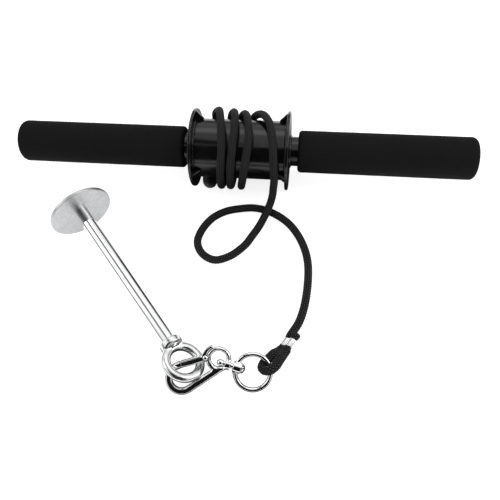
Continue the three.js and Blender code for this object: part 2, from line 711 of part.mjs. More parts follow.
function hookBody() {
  const deep = 2 * HOOK_THICKNESS;
  const boss = rod(-bowRadius, -bowHoleRadius, BOSS_DIAMETER / 2).translate([0, -BOW_OFFSET, 0]);
  const hole = slab(ovalOutline(bowHoleRadius, bowHoleRadius, ROUND_STEPS), deep);
  const bar = swept(ovalOutline(HOOK_THICKNESS / 2, SPINE_WIDTH / 2, BAR_SIDES), new HookBar(), BAR_STEPS);
  const tip = block(
    noseEnd.x - SPINE_WIDTH,
    noseEnd.y - SPINE_WIDTH,
    noseEnd.x + SPINE_WIDTH,
    noseEnd.y + SPINE_WIDTH,
    deep,
  );
  const gateSweep = aboutPivot(rod(-deep, deep, gateReach, 2 * ROUND_STEPS));
  const recess = aboutPivot(rod(-deep, deep, heelRadius + CLEARANCE));
  const lugLayer = aboutPivot(rod(lugBack, lugFront, heelRadius + CLEARANCE));
  const lug = aboutPivot(rod(lugBack, lugFront, LUG_PLATE_DIAMETER / 2));
  const pinBore = aboutPivot(rod(-deep, deep, PIN_DIAMETER / 2 + CLEARANCE));
  const stemBore = rod(-2 * bowRadius, 0, stemRadius + CLEARANCE).translate([0, -BOW_OFFSET, 0]);
  const body = joined(bowRing(), joined(boss, bar, hookPost()).subtract(hole));
  return body
    .subtract(gateSweep.intersect(tip))
    .subtract(recess.subtract(lugLayer))
    .add(lug)
    .subtract(pinBore)
    .subtract(stemBore);
}

// The gate: a round-backed beam, a heel slotted for the lug, and a thumb lever curled round the bow.
function hookGate() {
  const reach = gateReach - GATE_GAP;
  const deep = 2 * GATE_THICKNESS;
  const beam = slab(ovalOutline(GATE_THICKNESS / 2, GATE_WIDTH / 2, BAR_SIDES), reach)
    .rotate([0, 90, 0])
    .translate([reach / 2, 0, 0])
    .rotate([0, 0, gateAngle])
    .translate([pivot.x, pivot.y, 0])
    .intersect(aboutPivot(rod(-deep, deep, reach, 2 * ROUND_STEPS)));
  const inner = bowRadius + GATE_GAP;
  const span = LEVER_END_ANGLE - LEVER_START_ANGLE;
  const outerEdge = arc(0, 0, 1, LEVER_END_ANGLE, LEVER_START_ANGLE, 2 * ARC_STEPS).map(([x, y]) => {
    const share = (LEVER_END_ANGLE - Math.atan2(y, x) / DEGREE) / span;
    const radius = inner + LEVER_TIP_WIDTH + share * (LEVER_ROOT_WIDTH - LEVER_TIP_WIDTH);
    return [radius * x, radius * y];
  });
  const lever = slab(
    polygon([...arc(0, 0, inner, LEVER_START_ANGLE, LEVER_END_ANGLE, 2 * ARC_STEPS), ...outerEdge]),
    GATE_THICKNESS,
  );
  const heel = aboutPivot(rod(-GATE_THICKNESS / 2, GATE_THICKNESS / 2, heelRadius));
  const lugSlot = aboutPivot(rod(-slotHalf, slotHalf, lugSlotRadius));
  const bowSlot = slab(ovalOutline(inner, inner, ROUND_STEPS), 2 * slotHalf);
  const channel = block(-OVERRUN - heelRadius, -heelRadius - OVERRUN, GATE_CHANNEL_LENGTH, 0, 2 * slotHalf)
    .rotate([0, 0, gateAngle])
    .translate([pivot.x, pivot.y, 0]);
  return joined(beam, heel, lever)
    .subtract(joined(lugSlot, bowSlot, channel))
    .subtract(aboutPivot(rod(-deep, deep, PIN_DIAMETER / 2 + CLEARANCE)));
}

// A rivet with a domed head on each side of the gate.
function gatePin() {
  const face = GATE_THICKNESS / 2 + CLEARANCE;
  const radius = PIN_HEAD_DIAMETER / 2;
  const bulge = (radius ** 2 + PIN_HEAD_HEIGHT ** 2) / (2 * PIN_HEAD_HEIGHT);
  const halfAngle = Math.asin(radius / bulge) / DEGREE;
  const centre = face + PIN_HEAD_HEIGHT - bulge;
  const head = arc(centre, 0, bulge, halfAngle, 0);
  return aboutPivot(turned([
    ...head.map(([along, high]) => [-along, high]).reverse(),
    [-face, PIN_DIAMETER / 2],
    [face, PIN_DIAMETER / 2],
    ...head,
  ], SMALL_STEPS));
}

// A torsion spring of a few turns round the rivet, beside the lug.
function gateSpring() {
  const radius = PIN_DIAMETER / 2 + CLEARANCE + SPRING_WIRE / 2;
  const start = lugFront + CLEARANCE + SPRING_WIRE / 2;
  const pitch = (slotHalf - CLEARANCE - SPRING_WIRE / 2 - start) / SPRING_TURNS;
  const steps = SPRING_TURNS * SPRING_STEPS_PER_TURN;
  const centres = [];
  const outs = [];
  for (let i = 0; i <= steps; i += 1) {
    const angle = (i / SPRING_STEPS_PER_TURN) * TURN * DEGREE;
    const out = new THREE.Vector3(0, Math.cos(angle), Math.sin(angle));
    outs.push(out);
    centres.push(out.clone().multiplyScalar(radius).setX((i / SPRING_STEPS_PER_TURN) * pitch));
  }
  return aboutPivot(tubeThrough(centres, outs, SPRING_WIRE / 2, SPRING_SIDES).translate([start, 0, 0]));
}

const hook = groupAt(
  new THREE.Matrix4().makeTranslation(bowCentreX, BOW_OFFSET, 0),
  piece("hook_body", hookBody(), "chrome"),
  piece("hook_gate", hookGate(), "chrome"),
  piece("gate_pin", gatePin(), "chrome"),
  piece("gate_spring", gateSpring(), "springSteel"),
);
// The hook lies in the ring's plane, turned over about the stem's axis.
const hookSide = groupAt(new THREE.Matrix4().makeRotationX(Math.PI), hook);
const stemLine = groupAt(
  new THREE.Matrix4().makeRotationZ(STEM_ANGLE * DEGREE),
  piece("swivel_ring", swivelRing(), "chrome"),
  piece("swivel_stem", swivelStem(), "chrome"),
  hookSide,
);
const swivel = groupAt(frameOf(ringLevel, ringRise, ringCentre), stemLine);
swivel.updateMatrixWorld(true);

// Where the eye's wire crosses the hook's plane, beside the spine.
const seat = spineFoot
  .clone()
  .addScaledVector(spineWay, EYE_SEAT_ALONG)
  .addScaledVector(spineSide, SPINE_WIDTH / 2 + EYE_WIRE / 2 + EYE_SEAT_GAP);
const seatPoint = hook.localToWorld(new THREE.Vector3(seat.x, seat.y, 0));
const rodSpan = ROD_EXPOSED + NUT_REACH;

// The pin's frame: X down the rod from plate to eye, Y across the eye.
// The slope that puts the plate's rim on the table settles over a few passes.
function pinFrame() {
  let slope = 0;
  let frame = new THREE.Matrix4();
  for (let pass = 0; pass < SLOPE_PASSES; pass += 1) {
    const heading = PIN_HEADING_ANGLE * DEGREE;
    const flat = Math.cos(slope);
    const down = new THREE.Vector3(flat * Math.cos(heading), flat * Math.sin(heading), -Math.sin(slope));
    const level = new THREE.Vector3(-Math.sin(heading), Math.cos(heading), 0);
    const lift = new THREE.Vector3().crossVectors(down, level);
    const across = level
      .multiplyScalar(Math.cos(EYE_ROLL_ANGLE * DEGREE))
      .addScaledVector(lift, Math.sin(EYE_ROLL_ANGLE * DEGREE));
    const centre = seatPoint
      .clone()
      .addScaledVector(down, -EYE_RADIUS * Math.cos(EYE_SEAT_ANGLE * DEGREE))
      .addScaledVector(across, -EYE_RADIUS * Math.sin(EYE_SEAT_ANGLE * DEGREE));
    frame = frameOf(down, across, centre);
    slope = Math.asin(((PLATE_DIAMETER / 2) * Math.cos(slope) - centre.z) / rodSpan);
  }
  return frame;
}

// An eye with a bored nut: the section's ring, a waist, and a rounded collar round the bore.
function eyeNut() {
  const ring = solid(new THREE.TorusGeometry(EYE_RADIUS, EYE_WIRE / 2, EYE_SIDES, ROUND_STEPS));
  const top = NUT_REACH;
  const radius = NUT_DIAMETER / 2;
  const round = (NUT_DIAMETER - NUT_TOP_DIAMETER) / 2;
  const nut = turned([
    [-EYE_RADIUS, 0],
    [-EYE_RADIUS, NUT_NECK_DIAMETER / 2],
    [-(top - NUT_HEIGHT), NUT_NECK_DIAMETER / 2],
    ...arc(-(top - round - (NUT_HEIGHT - round) / 2), radius - round, round, 60, 90, 2),
    ...arc(-(top - round), radius - round, round, 90, 180),
    [-top, 0],
  ]);
  const bore = rod(-top - OVERRUN, -top + NUT_BORE_DEPTH, STUD_DIAMETER / 2 + CLEARANCE);
  return joined(ring, nut).subtract(bore);
}

// The rod runs from the plate's outer face to the nut, with a thinner stud in the nut's bore.
function pinRod() {
  const radius = ROD_DIAMETER / 2;
  const stud = STUD_DIAMETER / 2;
  const head = -rodSpan - PLATE_THICKNESS;
  const shoulder = -NUT_REACH - CLEARANCE;
  const tip = -NUT_REACH + NUT_BORE_DEPTH - CLEARANCE;
  return turned([
    [head, 0],
    [head, radius],
    [shoulder, radius],
    [shoulder, stud],
    [tip - ROD_CHAMFER, stud],
    [tip, stud - ROD_CHAMFER],
    [tip, 0],
  ]);
}

// A round plate with eased edges, bored for the rod.
function loadPlate() {
  const radius = PLATE_DIAMETER / 2;
  const seatFace = -rodSpan;
  const outer = seatFace - PLATE_THICKNESS;
  const bore = ROD_DIAMETER / 2 + CLEARANCE;
  return turned([
    [outer, bore],
    [outer, radius - PLATE_EDGE_ROUND],
    [outer + PLATE_EDGE_ROUND, radius],
    [seatFace - PLATE_EDGE_ROUND, radius],
    [seatFace, radius - PLATE_EDGE_ROUND],
    [seatFace, bore],
  ]);
}

const loadingPin = groupAt(
  pinFrame(),
  piece("eye_nut", eyeNut(), "chrome"),
  piece("pin_rod", pinRod(), "chrome"),
  piece("load_plate", loadPlate(), "brushedSteel"),
);

// The bar and the loading pin give the origin: under their middle, on the table.
bar.updateMatrixWorld(true);
loadingPin.updateMatrixWorld(true);
const box = new THREE.Box3().setFromObject(loadingPin, true);
for (const name of ["grip_left", "grip_right", "flange_left"]) {
  box.expandByObject(bar.getObjectByName(name), true);
}
const middle = box.getCenter(new THREE.Vector3());
console.log(`origin: x ${middle.x.toFixed(3)}, y ${middle.y.toFixed(3)}, z ${box.min.z.toFixed(3)}`);

const wristRoller = groupAt(
  new THREE.Matrix4().makeTranslation(-middle.x, -middle.y, -box.min.z),
  bar,
  rope,
  swivel,
  loadingPin,
);

export default wristRoller;
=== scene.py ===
"""A wrist roller with its rope, swivel snap hook and loading pin, dressed for rendering.

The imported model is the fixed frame: X runs along the bar, Z is up, lengths are metres.
Each sub-assembly is a class that holds its sizes, works out its surfaces as whole arrays
in the place that the frame gives them, and dresses them in its finishes.
"""

import logging
import math
from collections.abc import Callable, Sequence
from dataclasses import dataclass, field
from enum import Enum

import bpy
import numpy as np
from mathutils import Matrix, Vector

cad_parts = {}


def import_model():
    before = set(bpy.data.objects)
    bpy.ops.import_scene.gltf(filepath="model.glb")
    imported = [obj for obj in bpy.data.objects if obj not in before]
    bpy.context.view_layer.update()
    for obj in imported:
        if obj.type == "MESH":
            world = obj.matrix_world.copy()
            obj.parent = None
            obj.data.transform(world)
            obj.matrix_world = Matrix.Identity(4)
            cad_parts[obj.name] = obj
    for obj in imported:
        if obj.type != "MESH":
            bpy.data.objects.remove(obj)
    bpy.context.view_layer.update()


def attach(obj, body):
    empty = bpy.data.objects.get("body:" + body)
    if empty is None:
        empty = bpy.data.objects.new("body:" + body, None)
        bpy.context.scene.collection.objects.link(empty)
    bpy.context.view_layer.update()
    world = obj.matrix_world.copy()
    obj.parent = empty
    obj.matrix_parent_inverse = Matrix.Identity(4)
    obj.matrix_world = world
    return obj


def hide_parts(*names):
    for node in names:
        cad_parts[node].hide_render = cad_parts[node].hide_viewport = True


logging.basicConfig(level=logging.INFO, format="%(name)s: %(message)s")
log = logging.getLogger("wrist_roller")

Array = np.ndarray
Point = tuple[float, float, float]
Field = Callable[[Array], Array]

MM = 0.001
TINY = 1e-9
FULL_TURN = 2 * math.pi

# The braid, which the rope's shape and its finish both follow
BRAID_STRANDS = 12
BRAID_REPEAT = 2.18 * MM


# Short functions on whole arrays


def unit(rows: Array) -> Array:
    """Each row at length one."""
    return rows / np.linalg.norm(rows, axis=-1, keepdims=True)


def ways_along(path: Array) -> Array:
    """The direction of a path at each of its points."""
    return unit(np.gradient(path, axis=0))


def distances(path: Array) -> Array:
    """How far along the path each of its points lies."""
    return np.concatenate([[0], np.cumsum(np.linalg.norm(np.diff(path, axis=0), axis=1))])


def ramp(value: Array, start: float, end: float) -> Array:
    """0 up to start, evenly on to 1 at end, and level beyond."""
    return np.clip((value - start) / (end - start), 0, 1)


def round_turn(steps: int) -> Array:
    """Angles evenly spaced over one full turn."""
    return np.arange(steps) / steps * FULL_TURN


def spokes(turn: Array) -> Array:
    """Directions square to X at these angles: (0, cos t, sin t)."""
    return np.stack([np.zeros_like(turn), np.cos(turn), np.sin(turn)], -1)


def cubic(t: Array, start: Array, end: Array, leave: Array, arrive: Array) -> Array:
    """A cubic over t from 0 to 1: from start, with slope leave, to end, with slope arrive."""
    rise = end - start
    return start + t * (leave + t * (3 * rise - 2 * leave - arrive + t * (leave + arrive - 2 * rise)))


# Places and closed surfaces


@dataclass(frozen=True)
class Place:
    """A right-handed local frame: its origin, and its X and Y directions.

    Attributes:
        origin: where local zero lies, in metres.
        along: the direction of local X.
        across: the direction of local Y.
    """

    origin: Point
    along: Point = (1.0, 0.0, 0.0)
    across: Point = (0.0, 1.0, 0.0)

    def axes(self) -> Array:
        """Rows are the local X, Y and Z directions."""
        x, y = np.array(self.along), np.array(self.across)
        return np.stack([x, y, np.cross(x, y)])

    def put(self, points: Array) -> Array:
        """Local points in the frame's axes: origin + x X + y Y + z Z."""
        return np.array(self.origin) + points @ self.axes()


@dataclass
class Shell:
    """A closed surface.

    Attributes:
        points: one row for each point.
        quads: four point numbers for each four-sided face.
        triangles: three point numbers for each three-sided face.
        corner_uv: a pair for each corner of the quads, then of the triangles, or None.
    """

    points: Array
    quads: Array
    triangles: Array = field(default_factory=lambda: np.zeros((0, 3), int))
    corner_uv: Array | None = None

    def split(self) -> Array:
        """All faces as triangles."""
        halves = [self.quads[:, [0, 1, 2]], self.quads[:, [0, 2, 3]]]
        return np.concatenate([*halves, self.triangles])

    def outward(self) -> "Shell":
        """Turns the faces round if they enclose a negative volume: a . (b x c) summed over triangles.

        Returns:
            The same surface.
        """
        a, b, c = (self.points[self.split()[:, i]] for i in range(3))
        if float(np.einsum("ij,ij->i", a, np.cross(b, c)).sum()) < 0:
            self.quads = self.quads[:, ::-1]
            self.triangles = self.triangles[:, ::-1]
            if self.corner_uv is not None:
                cut = self.quads.size
                body = self.corner_uv[:cut].reshape(-1, 4, 2)[:, ::-1].reshape(-1, 2)
                caps = self.corner_uv[cut:].reshape(-1, 3, 2)[:, ::-1].reshape(-1, 2)
                self.corner_uv = np.concatenate([body, caps])
        return self

    def at(self, place: Place) -> "Shell":
        """The same surface with its local points put in the frame's axes."""
        return Shell(place.put(self.points), self.quads, self.triangles, self.corner_uv)

    def plus(self, other: "Shell") -> "Shell":
        """Puts both surfaces in one.

        Args:
            other: the other surface.

        Returns:
            The surface, without coordinates.
        """
        shift = len(self.points)
        return Shell(
            np.concatenate([self.points, other.points]),
            np.concatenate([self.quads, other.quads + shift]),
            np.concatenate([self.triangles, other.triangles + shift]),
        )

    def piece(self, name: str, crisp: float = 40.0) -> bpy.types.Object:
        """Makes the Blender object.

        Args:
            name: the piece's name.
            crisp: edges that turn by more than this many degrees stay sharp.

        Returns:
            The object, at the origin, with its place in its mesh.
        """
        self.outward()
        mesh = bpy.data.meshes.new(name)
        corners = np.concatenate([self.quads.ravel(), self.triangles.ravel()])
        sizes = np.repeat([4, 3], [len(self.quads), len(self.triangles)])
        starts = np.concatenate([[0], np.cumsum(sizes)[:-1]])
        mesh.vertices.add(len(self.points))
        mesh.vertices.foreach_set("co", self.points.astype(np.float32).ravel())
        mesh.loops.add(len(corners))
        mesh.loops.foreach_set("vertex_index", corners.astype(np.int32))
        mesh.polygons.add(len(sizes))
        mesh.polygons.foreach_set("loop_start", starts.astype(np.int32))
        mesh.update(calc_edges=True)
        mesh.validate()
        if self.corner_uv is not None:
            layer = mesh.uv_layers.new(name="Lay")
            layer.data.foreach_set("uv", self.corner_uv.astype(np.float32).ravel())
        mesh.shade_smooth()
        mesh.set_sharp_from_angle(angle=math.radians(crisp))
        return linked(name, mesh)


def linked(name: str, data: bpy.types.ID) -> bpy.types.Object:
    """Makes an object and puts it in the scene.

    Args:
        name: the object's name.
        data: its mesh, camera or light.

    Returns:
        The object.
    """
    made = bpy.data.objects.new(name, data)
    bpy.context.scene.collection.objects.link(made)
    return made


def eased(corners: Sequence[Sequence[float]], radii: Sequence[float], steps: int = 6) -> Array:
    """A polygon with rounded corners.

    Each corner gives way to an arc that touches both its sides: the arc's ends lie
    radius / tan(half the corner's angle) from the corner, and its points are
    centre + radius (cos, sin) over the angle between the sides' normals. A little before
    and after each arc the side keeps a point, so that smooth shading stays inside the arc.

    Args:
        corners: the polygon's corners in order, round a closed ring.
        radii: the radius of each corner, zero for a crisp one.
        steps: how many steps each arc has.

    Returns:
        The ring's points, one row each.
    """
    lead_share, side_share = 0.4, 0.3
    ring = np.array(corners, float)
    rows = []
    for corner, before, after, radius in zip(ring, np.roll(ring, 1, 0), np.roll(ring, -1, 0), radii):
        back, on = before - corner, after - corner
        reach_back, reach_on = np.linalg.norm(back), np.linalg.norm(on)
        if radius <= 0 or min(reach_back, reach_on) < TINY:
            rows.append(corner[None])
            continue
        back, on = back / reach_back, on / reach_on
        half = math.acos(float(np.clip(back @ on, -1, 1))) / 2
        touch = radius / math.tan(half)
        middle = corner + unit(back + on) * radius / math.sin(half)
        first, last = corner + back * touch - middle, corner + on * touch - middle
        part = np.linspace(0, 1, steps + 1)[:, None]
        sweep = math.pi - 2 * half
        arc = (np.sin((1 - part) * sweep) * first + np.sin(part * sweep) * last) / math.sin(sweep)
        lead = first + back * min(lead_share * radius, side_share * (reach_back - touch))
        tail = last + on * min(lead_share * radius, side_share * (reach_on - touch))
        rows.append(middle + np.concatenate([[lead], arc, [tail]]))
    return np.concatenate(rows)


def washer(low: float, high: float, bore: float, radius: float, easing: float = 0.0) -> Array:
    """The profile of a ring from low to high along its axis, with eased outer edges."""
    return eased([(low, bore), (low, radius), (high, radius), (high, bore)], [0, easing, easing, 0])


def dome(radius: float, rise: float, steps: int) -> Array:
    """The profile of a ball's cap, whose ball has the radius (radius^2 + rise^2) / (2 rise).

    Args:
        radius: of the cap's rim.
        rise: the cap's height.
        steps: how many points it has.

    Returns:
        Rows of (depth below its top, distance from its axis).
    """
    ball = (radius**2 + rise**2) / (2 * rise)
    lift = np.linspace(0, math.asin(radius / ball), steps)
    return ball * np.stack([1 - np.cos(lift), np.sin(lift)], -1)


def grid_faces(rows: int, columns: int, closed_rows: bool = False) -> Array:
    """Quads of a grid whose columns close round, and whose rows may.

    Args:
        rows: points along the first parameter.
        columns: points round the second one.
        closed_rows: whether the last row meets the first.

    Returns:
        Point numbers, row by row: (i, j), (i, j + 1), (i + 1, j + 1), (i + 1, j).
    """
    i, j = np.meshgrid(np.arange(rows if closed_rows else rows - 1), np.arange(columns), indexing="ij")
    here, up, right = i * columns, (i + 1) % rows * columns, (j + 1) % columns
    return np.stack([here + j, here + right, up + right, up + j], -1).reshape(-1, 4)


def end_fans(rows: int, columns: int) -> Array:
    """Fans that close the first and last row of a grid.

    Args:
        rows: rows of the grid, whose points are followed by the two fans' middles.
        columns: points in each row.

    Returns:
        Point numbers of both fans' triangles.
    """
    j = np.arange(columns)
    on = (j + 1) % columns
    middle, last = rows * columns, (rows - 1) * columns
    first_fan = np.stack([np.full(columns, middle), on, j], -1)
    last_fan = np.stack([np.full(columns, middle + 1), last + j, last + on], -1)
    return np.concatenate([first_fan, last_fan])


def turned(profile: Array, steps: int = 128) -> Shell:
    """A surface of revolution about X: profile point (a, r) at turn t is (a, r cos t, r sin t).

    Args:
        profile: rows of (along X, radius): a closed ring, or a line with both ends on the axis.
        steps: columns round the axis.

    Returns:
        The closed surface, with each end on the axis as one point and a fan.
    """
    on_axis = max(profile[0, 1], profile[-1, 1]) < TINY
    body = profile[1:-1] if on_axis else profile
    points = np.empty((len(body), steps, 3))
    points[..., 0] = body[:, None, 0]
    points[..., 1:] = body[:, None, 1, None] * spokes(round_turn(steps))[:, 1:]
    points = points.reshape(-1, 3)
    faces = grid_faces(len(body), steps, closed_rows=not on_axis)
    if not on_axis:
        return Shell(points, faces)
    ends = np.array([[profile[0, 0], 0, 0], [profile[-1, 0], 0, 0]])
    return Shell(np.concatenate([points, ends]), faces, end_fans(len(body), steps))


def tube(path: Array, outs: Array, radii: Array, along: Array | None = None) -> Shell:
    """A surface carried along a path.

    The point of ring i at turn t is path i + radius (cos t out i + sin t side i), where
    side is tangent x out. Each end closes with a fan round its middle.

    Args:
        path: the rings' centres.
        outs: for each ring, a unit direction square to the path.
        radii: one row for each ring and one column for each point round it.
        along: distances for the surface's second coordinate, or None for no coordinates.

    Returns:
        The closed surface.
    """
    rings, sides = radii.shape
    way = ways_along(path)
    square = unit(outs - (outs * way).sum(1, keepdims=True) * way)
    turn = round_turn(sides)[:, None]
    wave = np.cos(turn) * square[:, None] + np.sin(turn) * np.cross(way, square)[:, None]
    points = (path[:, None] + radii[..., None] * wave).reshape(-1, 3)
    points = np.concatenate([points, path[:1], path[-1:]])
    uv = None
    if along is not None:
        i, j = np.meshgrid(np.arange(rings - 1), np.arange(sides), indexing="ij")
        low, high, left, right = along[i], along[i + 1], j / sides, (j + 1) / sides
        body = np.stack([left, low, right, low, right, high, left, high], -1).reshape(-1, 2)
        caps = np.repeat([[0.5, along[0]], [0.5, along[-1]]], 3 * sides, axis=0)
        uv = np.concatenate([body, caps])
    return Shell(points, grid_faces(rings, sides), end_fans(rings, sides), uv)


def hoop(radius: float, section: Array, swell: Array) -> Shell:
    """A closed ring about X.

    Section point (a, b) at turn t lies at (a s, radius + b s) turned by t, where s is the
    swell there, so that a bead of weld can ripple.

    Args:
        radius: of the section's own origin.
        section: rows of (along X, outwards).
        swell: one size for each column round the axis.

    Returns:
        The closed surface.
    """
    turn, grown = round_turn(len(swell))[:, None], swell[:, None]
    reach = radius + section[:, 1] * grown
    points = np.stack([section[:, 0] * grown, reach * np.cos(turn), reach * np.sin(turn)], -1)
    return Shell(points.reshape(-1, 3), grid_faces(len(swell), len(section), closed_rows=True))


def prism(outline: Array, thickness: float) -> Shell:
    """A flat plate, thickness / 2 above and below z = 0.

    Args:
        outline: the points of a convex outline in the XY plane.
        thickness: the plate's.

    Returns:
        The closed surface.
    """
    count = len(outline)
    low = np.column_stack([outline, np.full(count, -thickness / 2)])
    high = np.column_stack([outline, np.full(count, thickness / 2)])
    j = np.arange(1, count - 1)
    first = np.zeros(count - 2, int)
    caps = np.concatenate([np.stack([first, j + 1, j], -1), np.stack([first, j, j + 1], -1) + count])
    return Shell(np.concatenate([low, high]), grid_faces(2, count), caps)


# Distance fields, for forged pieces whose parts flow into each other


def merged(a: Array, b: Array, reach: float) -> Array:
    """The nearer of two distances, rounded where they differ by less than reach."""
    share = np.clip(0.5 + 0.5 * (b - a) / reach, 0, 1)
    return b + (a - b) * share - reach * share * (1 - share)


def carved(a: Array, b: Array, reach: float) -> Array:
    """The distance to a without b, with the new edge rounded over reach."""
    return -merged(-a, b, reach)


def slab_distance(value: Array, low: float, high: float) -> Array:
    """How far a coordinate lies outside the span from low to high; negative inside."""
    return np.abs(value - (low + high) / 2) - (high - low) / 2


def rounded_both(a: Array, b: Array, easing: float) -> Array:
    """The distance to what two spans share, with the edge between them eased.

    Outside both it is the straight distance to the edge drawn in by the easing,
    less the easing: hypot(max(a + e, 0), max(b + e, 0)) + min(max(a, b) + e, 0) - e.
    """
    p, q = a + easing, b + easing
    return np.hypot(np.maximum(p, 0), np.maximum(q, 0)) + np.minimum(np.maximum(p, q), 0) - easing


def skin(distance: Field, low: Point, high: Point, step: float) -> Shell:
    """The surface where a distance field is zero.

    The field is sampled on a grid. Each cell that the surface crosses gets one point, at
    the mean of the crossings on its edges, and each crossed edge one quad between the four
    cells round it. The points then move down the field's slope: p - d grad / |grad|^2.

    Args:
        distance: gives the signed distance at points of any array shape.
        low: the box's lowest corner, clear of the surface.
        high: its highest corner.
        step: the cells' size.

    Returns:
        The closed surface.
    """
    axes = [np.arange(a, b + step, step) for a, b in zip(low, high)]
    value = distance(np.stack(np.meshgrid(*axes, indexing="ij"), -1))
    cells = tuple(n - 1 for n in value.shape)
    total, count, quads = np.zeros((math.prod(cells), 3)), np.zeros((math.prod(cells), 1)), []
    for axis in range(3):
        near = tuple(slice(0, -1) if k == axis else slice(None) for k in range(3))
        far = tuple(slice(1, None) if k == axis else slice(None) for k in range(3))
        crossing = (value[near] < 0) != (value[far] < 0)
        index = np.argwhere(crossing)
        a, b = value[near][crossing], value[far][crossing]
        spot = index.astype(float)
        spot[:, axis] += a / (a - b)
        u, v = (axis + 1) % 3, (axis + 2) % 3
        around = []
        for du, dv in ((-1, -1), (0, -1), (0, 0), (-1, 0)):
            cell = index.copy()
            cell[:, u] += du
            cell[:, v] += dv
            flat = np.ravel_multi_index(tuple(cell.T), cells)
            np.add.at(total, flat, spot)
            np.add.at(count, flat, 1)
            around.append(flat)
        quad = np.stack(around, -1)
        quad[a >= 0] = quad[a >= 0, ::-1]
        quads.append(quad)
    used, faces = np.unique(np.concatenate(quads), return_inverse=True)
    points = np.array(low) + total[used] / count[used] * step
    probe, most_move, least_slope = 0.05 * step, 0.5 * step, 0.2
    for _ in range(4):
        here = distance(points)
        rises = [distance(points + nudge) - distance(points - nudge) for nudge in np.eye(3) * probe]
        slope = np.stack(rises, -1) / (2 * probe)
        move = here[:, None] * slope / np.maximum((slope**2).sum(1, keepdims=True), least_slope)
        points -= np.clip(move, -most_move, most_move)
    return Shell(points, faces.reshape(-1, 4))


# Finishes, written as expressions on shader sockets


def math_method(operation: str, flipped: bool = False) -> Callable[..., "Wire"]:
    """A method of Wire that adds one Math node.

    Args:
        operation: the node's operation.
        flipped: whether self comes last.

    Returns:
        The method, which takes the node's other values.
    """

    def method(wire: "Wire", *others: "Wire | float") -> "Wire":
        """The Math node's output."""
        values = (*others, wire) if flipped else (wire, *others)
        return wire.sheet.node("ShaderNodeMath", {"operation": operation}, dict(enumerate(values)))

    return method


class Wire:
    """A shader socket that takes part in arithmetic.

    The modulo is never negative, and a comparison gives 1 where it holds and 0 elsewhere.
    """

    __add__ = __radd__ = math_method("ADD")
    __sub__ = math_method("SUBTRACT")
    __rsub__ = math_method("SUBTRACT", flipped=True)
    __mul__ = __rmul__ = math_method("MULTIPLY")
    __truediv__ = math_method("DIVIDE")
    __mod__ = math_method("FLOORED_MODULO")
    __lt__ = math_method("LESS_THAN")
    __gt__ = math_method("GREATER_THAN")
    floor = math_method("FLOOR")
    fract = math_method("FRACT")
    sine = math_method("SINE")

    def __init__(self, sheet: "Sheet", socket: bpy.types.NodeSocket) -> None:
        """Holds a socket of a sheet."""
        self.sheet, self.socket = sheet, socket

    def clipped(self) -> "Wire":
        """The value held between 0 and 1."""
        return self.sheet.node("ShaderNodeClamp", {}, {0: self})

    def blend(self, low: "Wire | float", high: "Wire | float") -> "Wire":
        """A value from low, where self is 0, to high, where self is 1."""
        return low + (high - low) * self


class Sheet:
    """The node tree of a material or a world, emptied and written anew."""

    def __init__(self, owner: bpy.types.Material | bpy.types.World) -> None:
        """Empties the owner's tree.

        Args:
            owner: the material or world.
        """
        owner.use_nodes = True
        self.owner = owner
        self.nodes = owner.node_tree.nodes
        self.links = owner.node_tree.links
        self.nodes.clear()

    def node(
        self,
        kind: str,
        settings: dict[str, object] | None = None,
        inputs: dict[int | str, object] | None = None,
        out: int | str | None = 0,
    ) -> Wire | None:
        """Adds a node.

        Args:
            kind: the node's type.
            settings: its own settings, set first.
            inputs: the values or links of its sockets.
            out: which output to give back, if it has one.

        Returns:
            That output, or None.
        """
        made = self.nodes.new(kind)
        for key, value in (settings or {}).items():
            setattr(made, key, value)
        for key, value in (inputs or {}).items():
            if isinstance(value, Wire):
                self.links.new(value.socket, made.inputs[key])
            else:
                made.inputs[key].default_value = value
        return None if out is None else Wire(self, made.outputs[out])

    def place(self) -> Wire:
        """Object coordinates, in metres."""
        return self.node("ShaderNodeTexCoord", out="Object")

    def stretched(self, scale: Point, turn: Point) -> Wire:
        """Object coordinates turned and scaled along each axis."""
        inputs = {"Vector": self.place(), "Rotation": turn, "Scale": scale}
        return self.node("ShaderNodeMapping", {}, inputs)

    def noise(self, where: Wire, scale: float, detail: float = 2.0, roughness: float = 0.5) -> Wire:
        """Cloudy noise from 0 to 1."""
        values = {"Vector": where, "Scale": scale, "Detail": detail, "Roughness": roughness}
        return self.node("ShaderNodeTexNoise", {}, values)

    def cells(self, where: Wire, scale: float) -> Wire:
        """The distance to the middle of the nearest cell."""
        return self.node("ShaderNodeTexVoronoi", {}, {"Vector": where, "Scale": scale}, out="Distance")

    def mixed(self, share: Wire | float, low: Point, high: Point) -> Wire:
        """A colour between two."""
        inputs = {0: share, 6: (*low, 1.0), 7: (*high, 1.0)}
        return self.node("ShaderNodeMix", {"data_type": "RGBA"}, inputs, out=2)

    def grey(self, tone: Wire) -> Wire:
        """The colour whose red, green and blue are all this tone."""
        return self.node("ShaderNodeCombineColor", {}, {0: tone, 1: tone, 2: tone})

    def camera_ray(self) -> Wire:
        """1 where the camera looks straight at the surface, 0 for light and mirrors."""
        return self.node("ShaderNodeLightPath", out="Is Camera Ray") > 0.5

    def bump(self, height: Wire, depth: float, strength: float) -> Wire:
        """A normal bent by a height from 0 to 1, depth metres deep."""
        inputs = {"Strength": strength, "Distance": depth, "Height": height}
        return self.node("ShaderNodeBump", {}, inputs)

    def finished(self, **sockets: object) -> bpy.types.Material:
        """Ends a material in a Principled shader.

        Args:
            **sockets: the shader's values or links, named with underscores.

        Returns:
            The material.
        """
        titles = {key: key.replace("_", " ").title().replace("Ior", "IOR") for key in sockets}
        surface = self.node("ShaderNodeBsdfPrincipled", {}, {titles[key]: sockets[key] for key in sockets})
        self.node("ShaderNodeOutputMaterial", {}, {"Surface": surface}, out=None)
        return self.owner


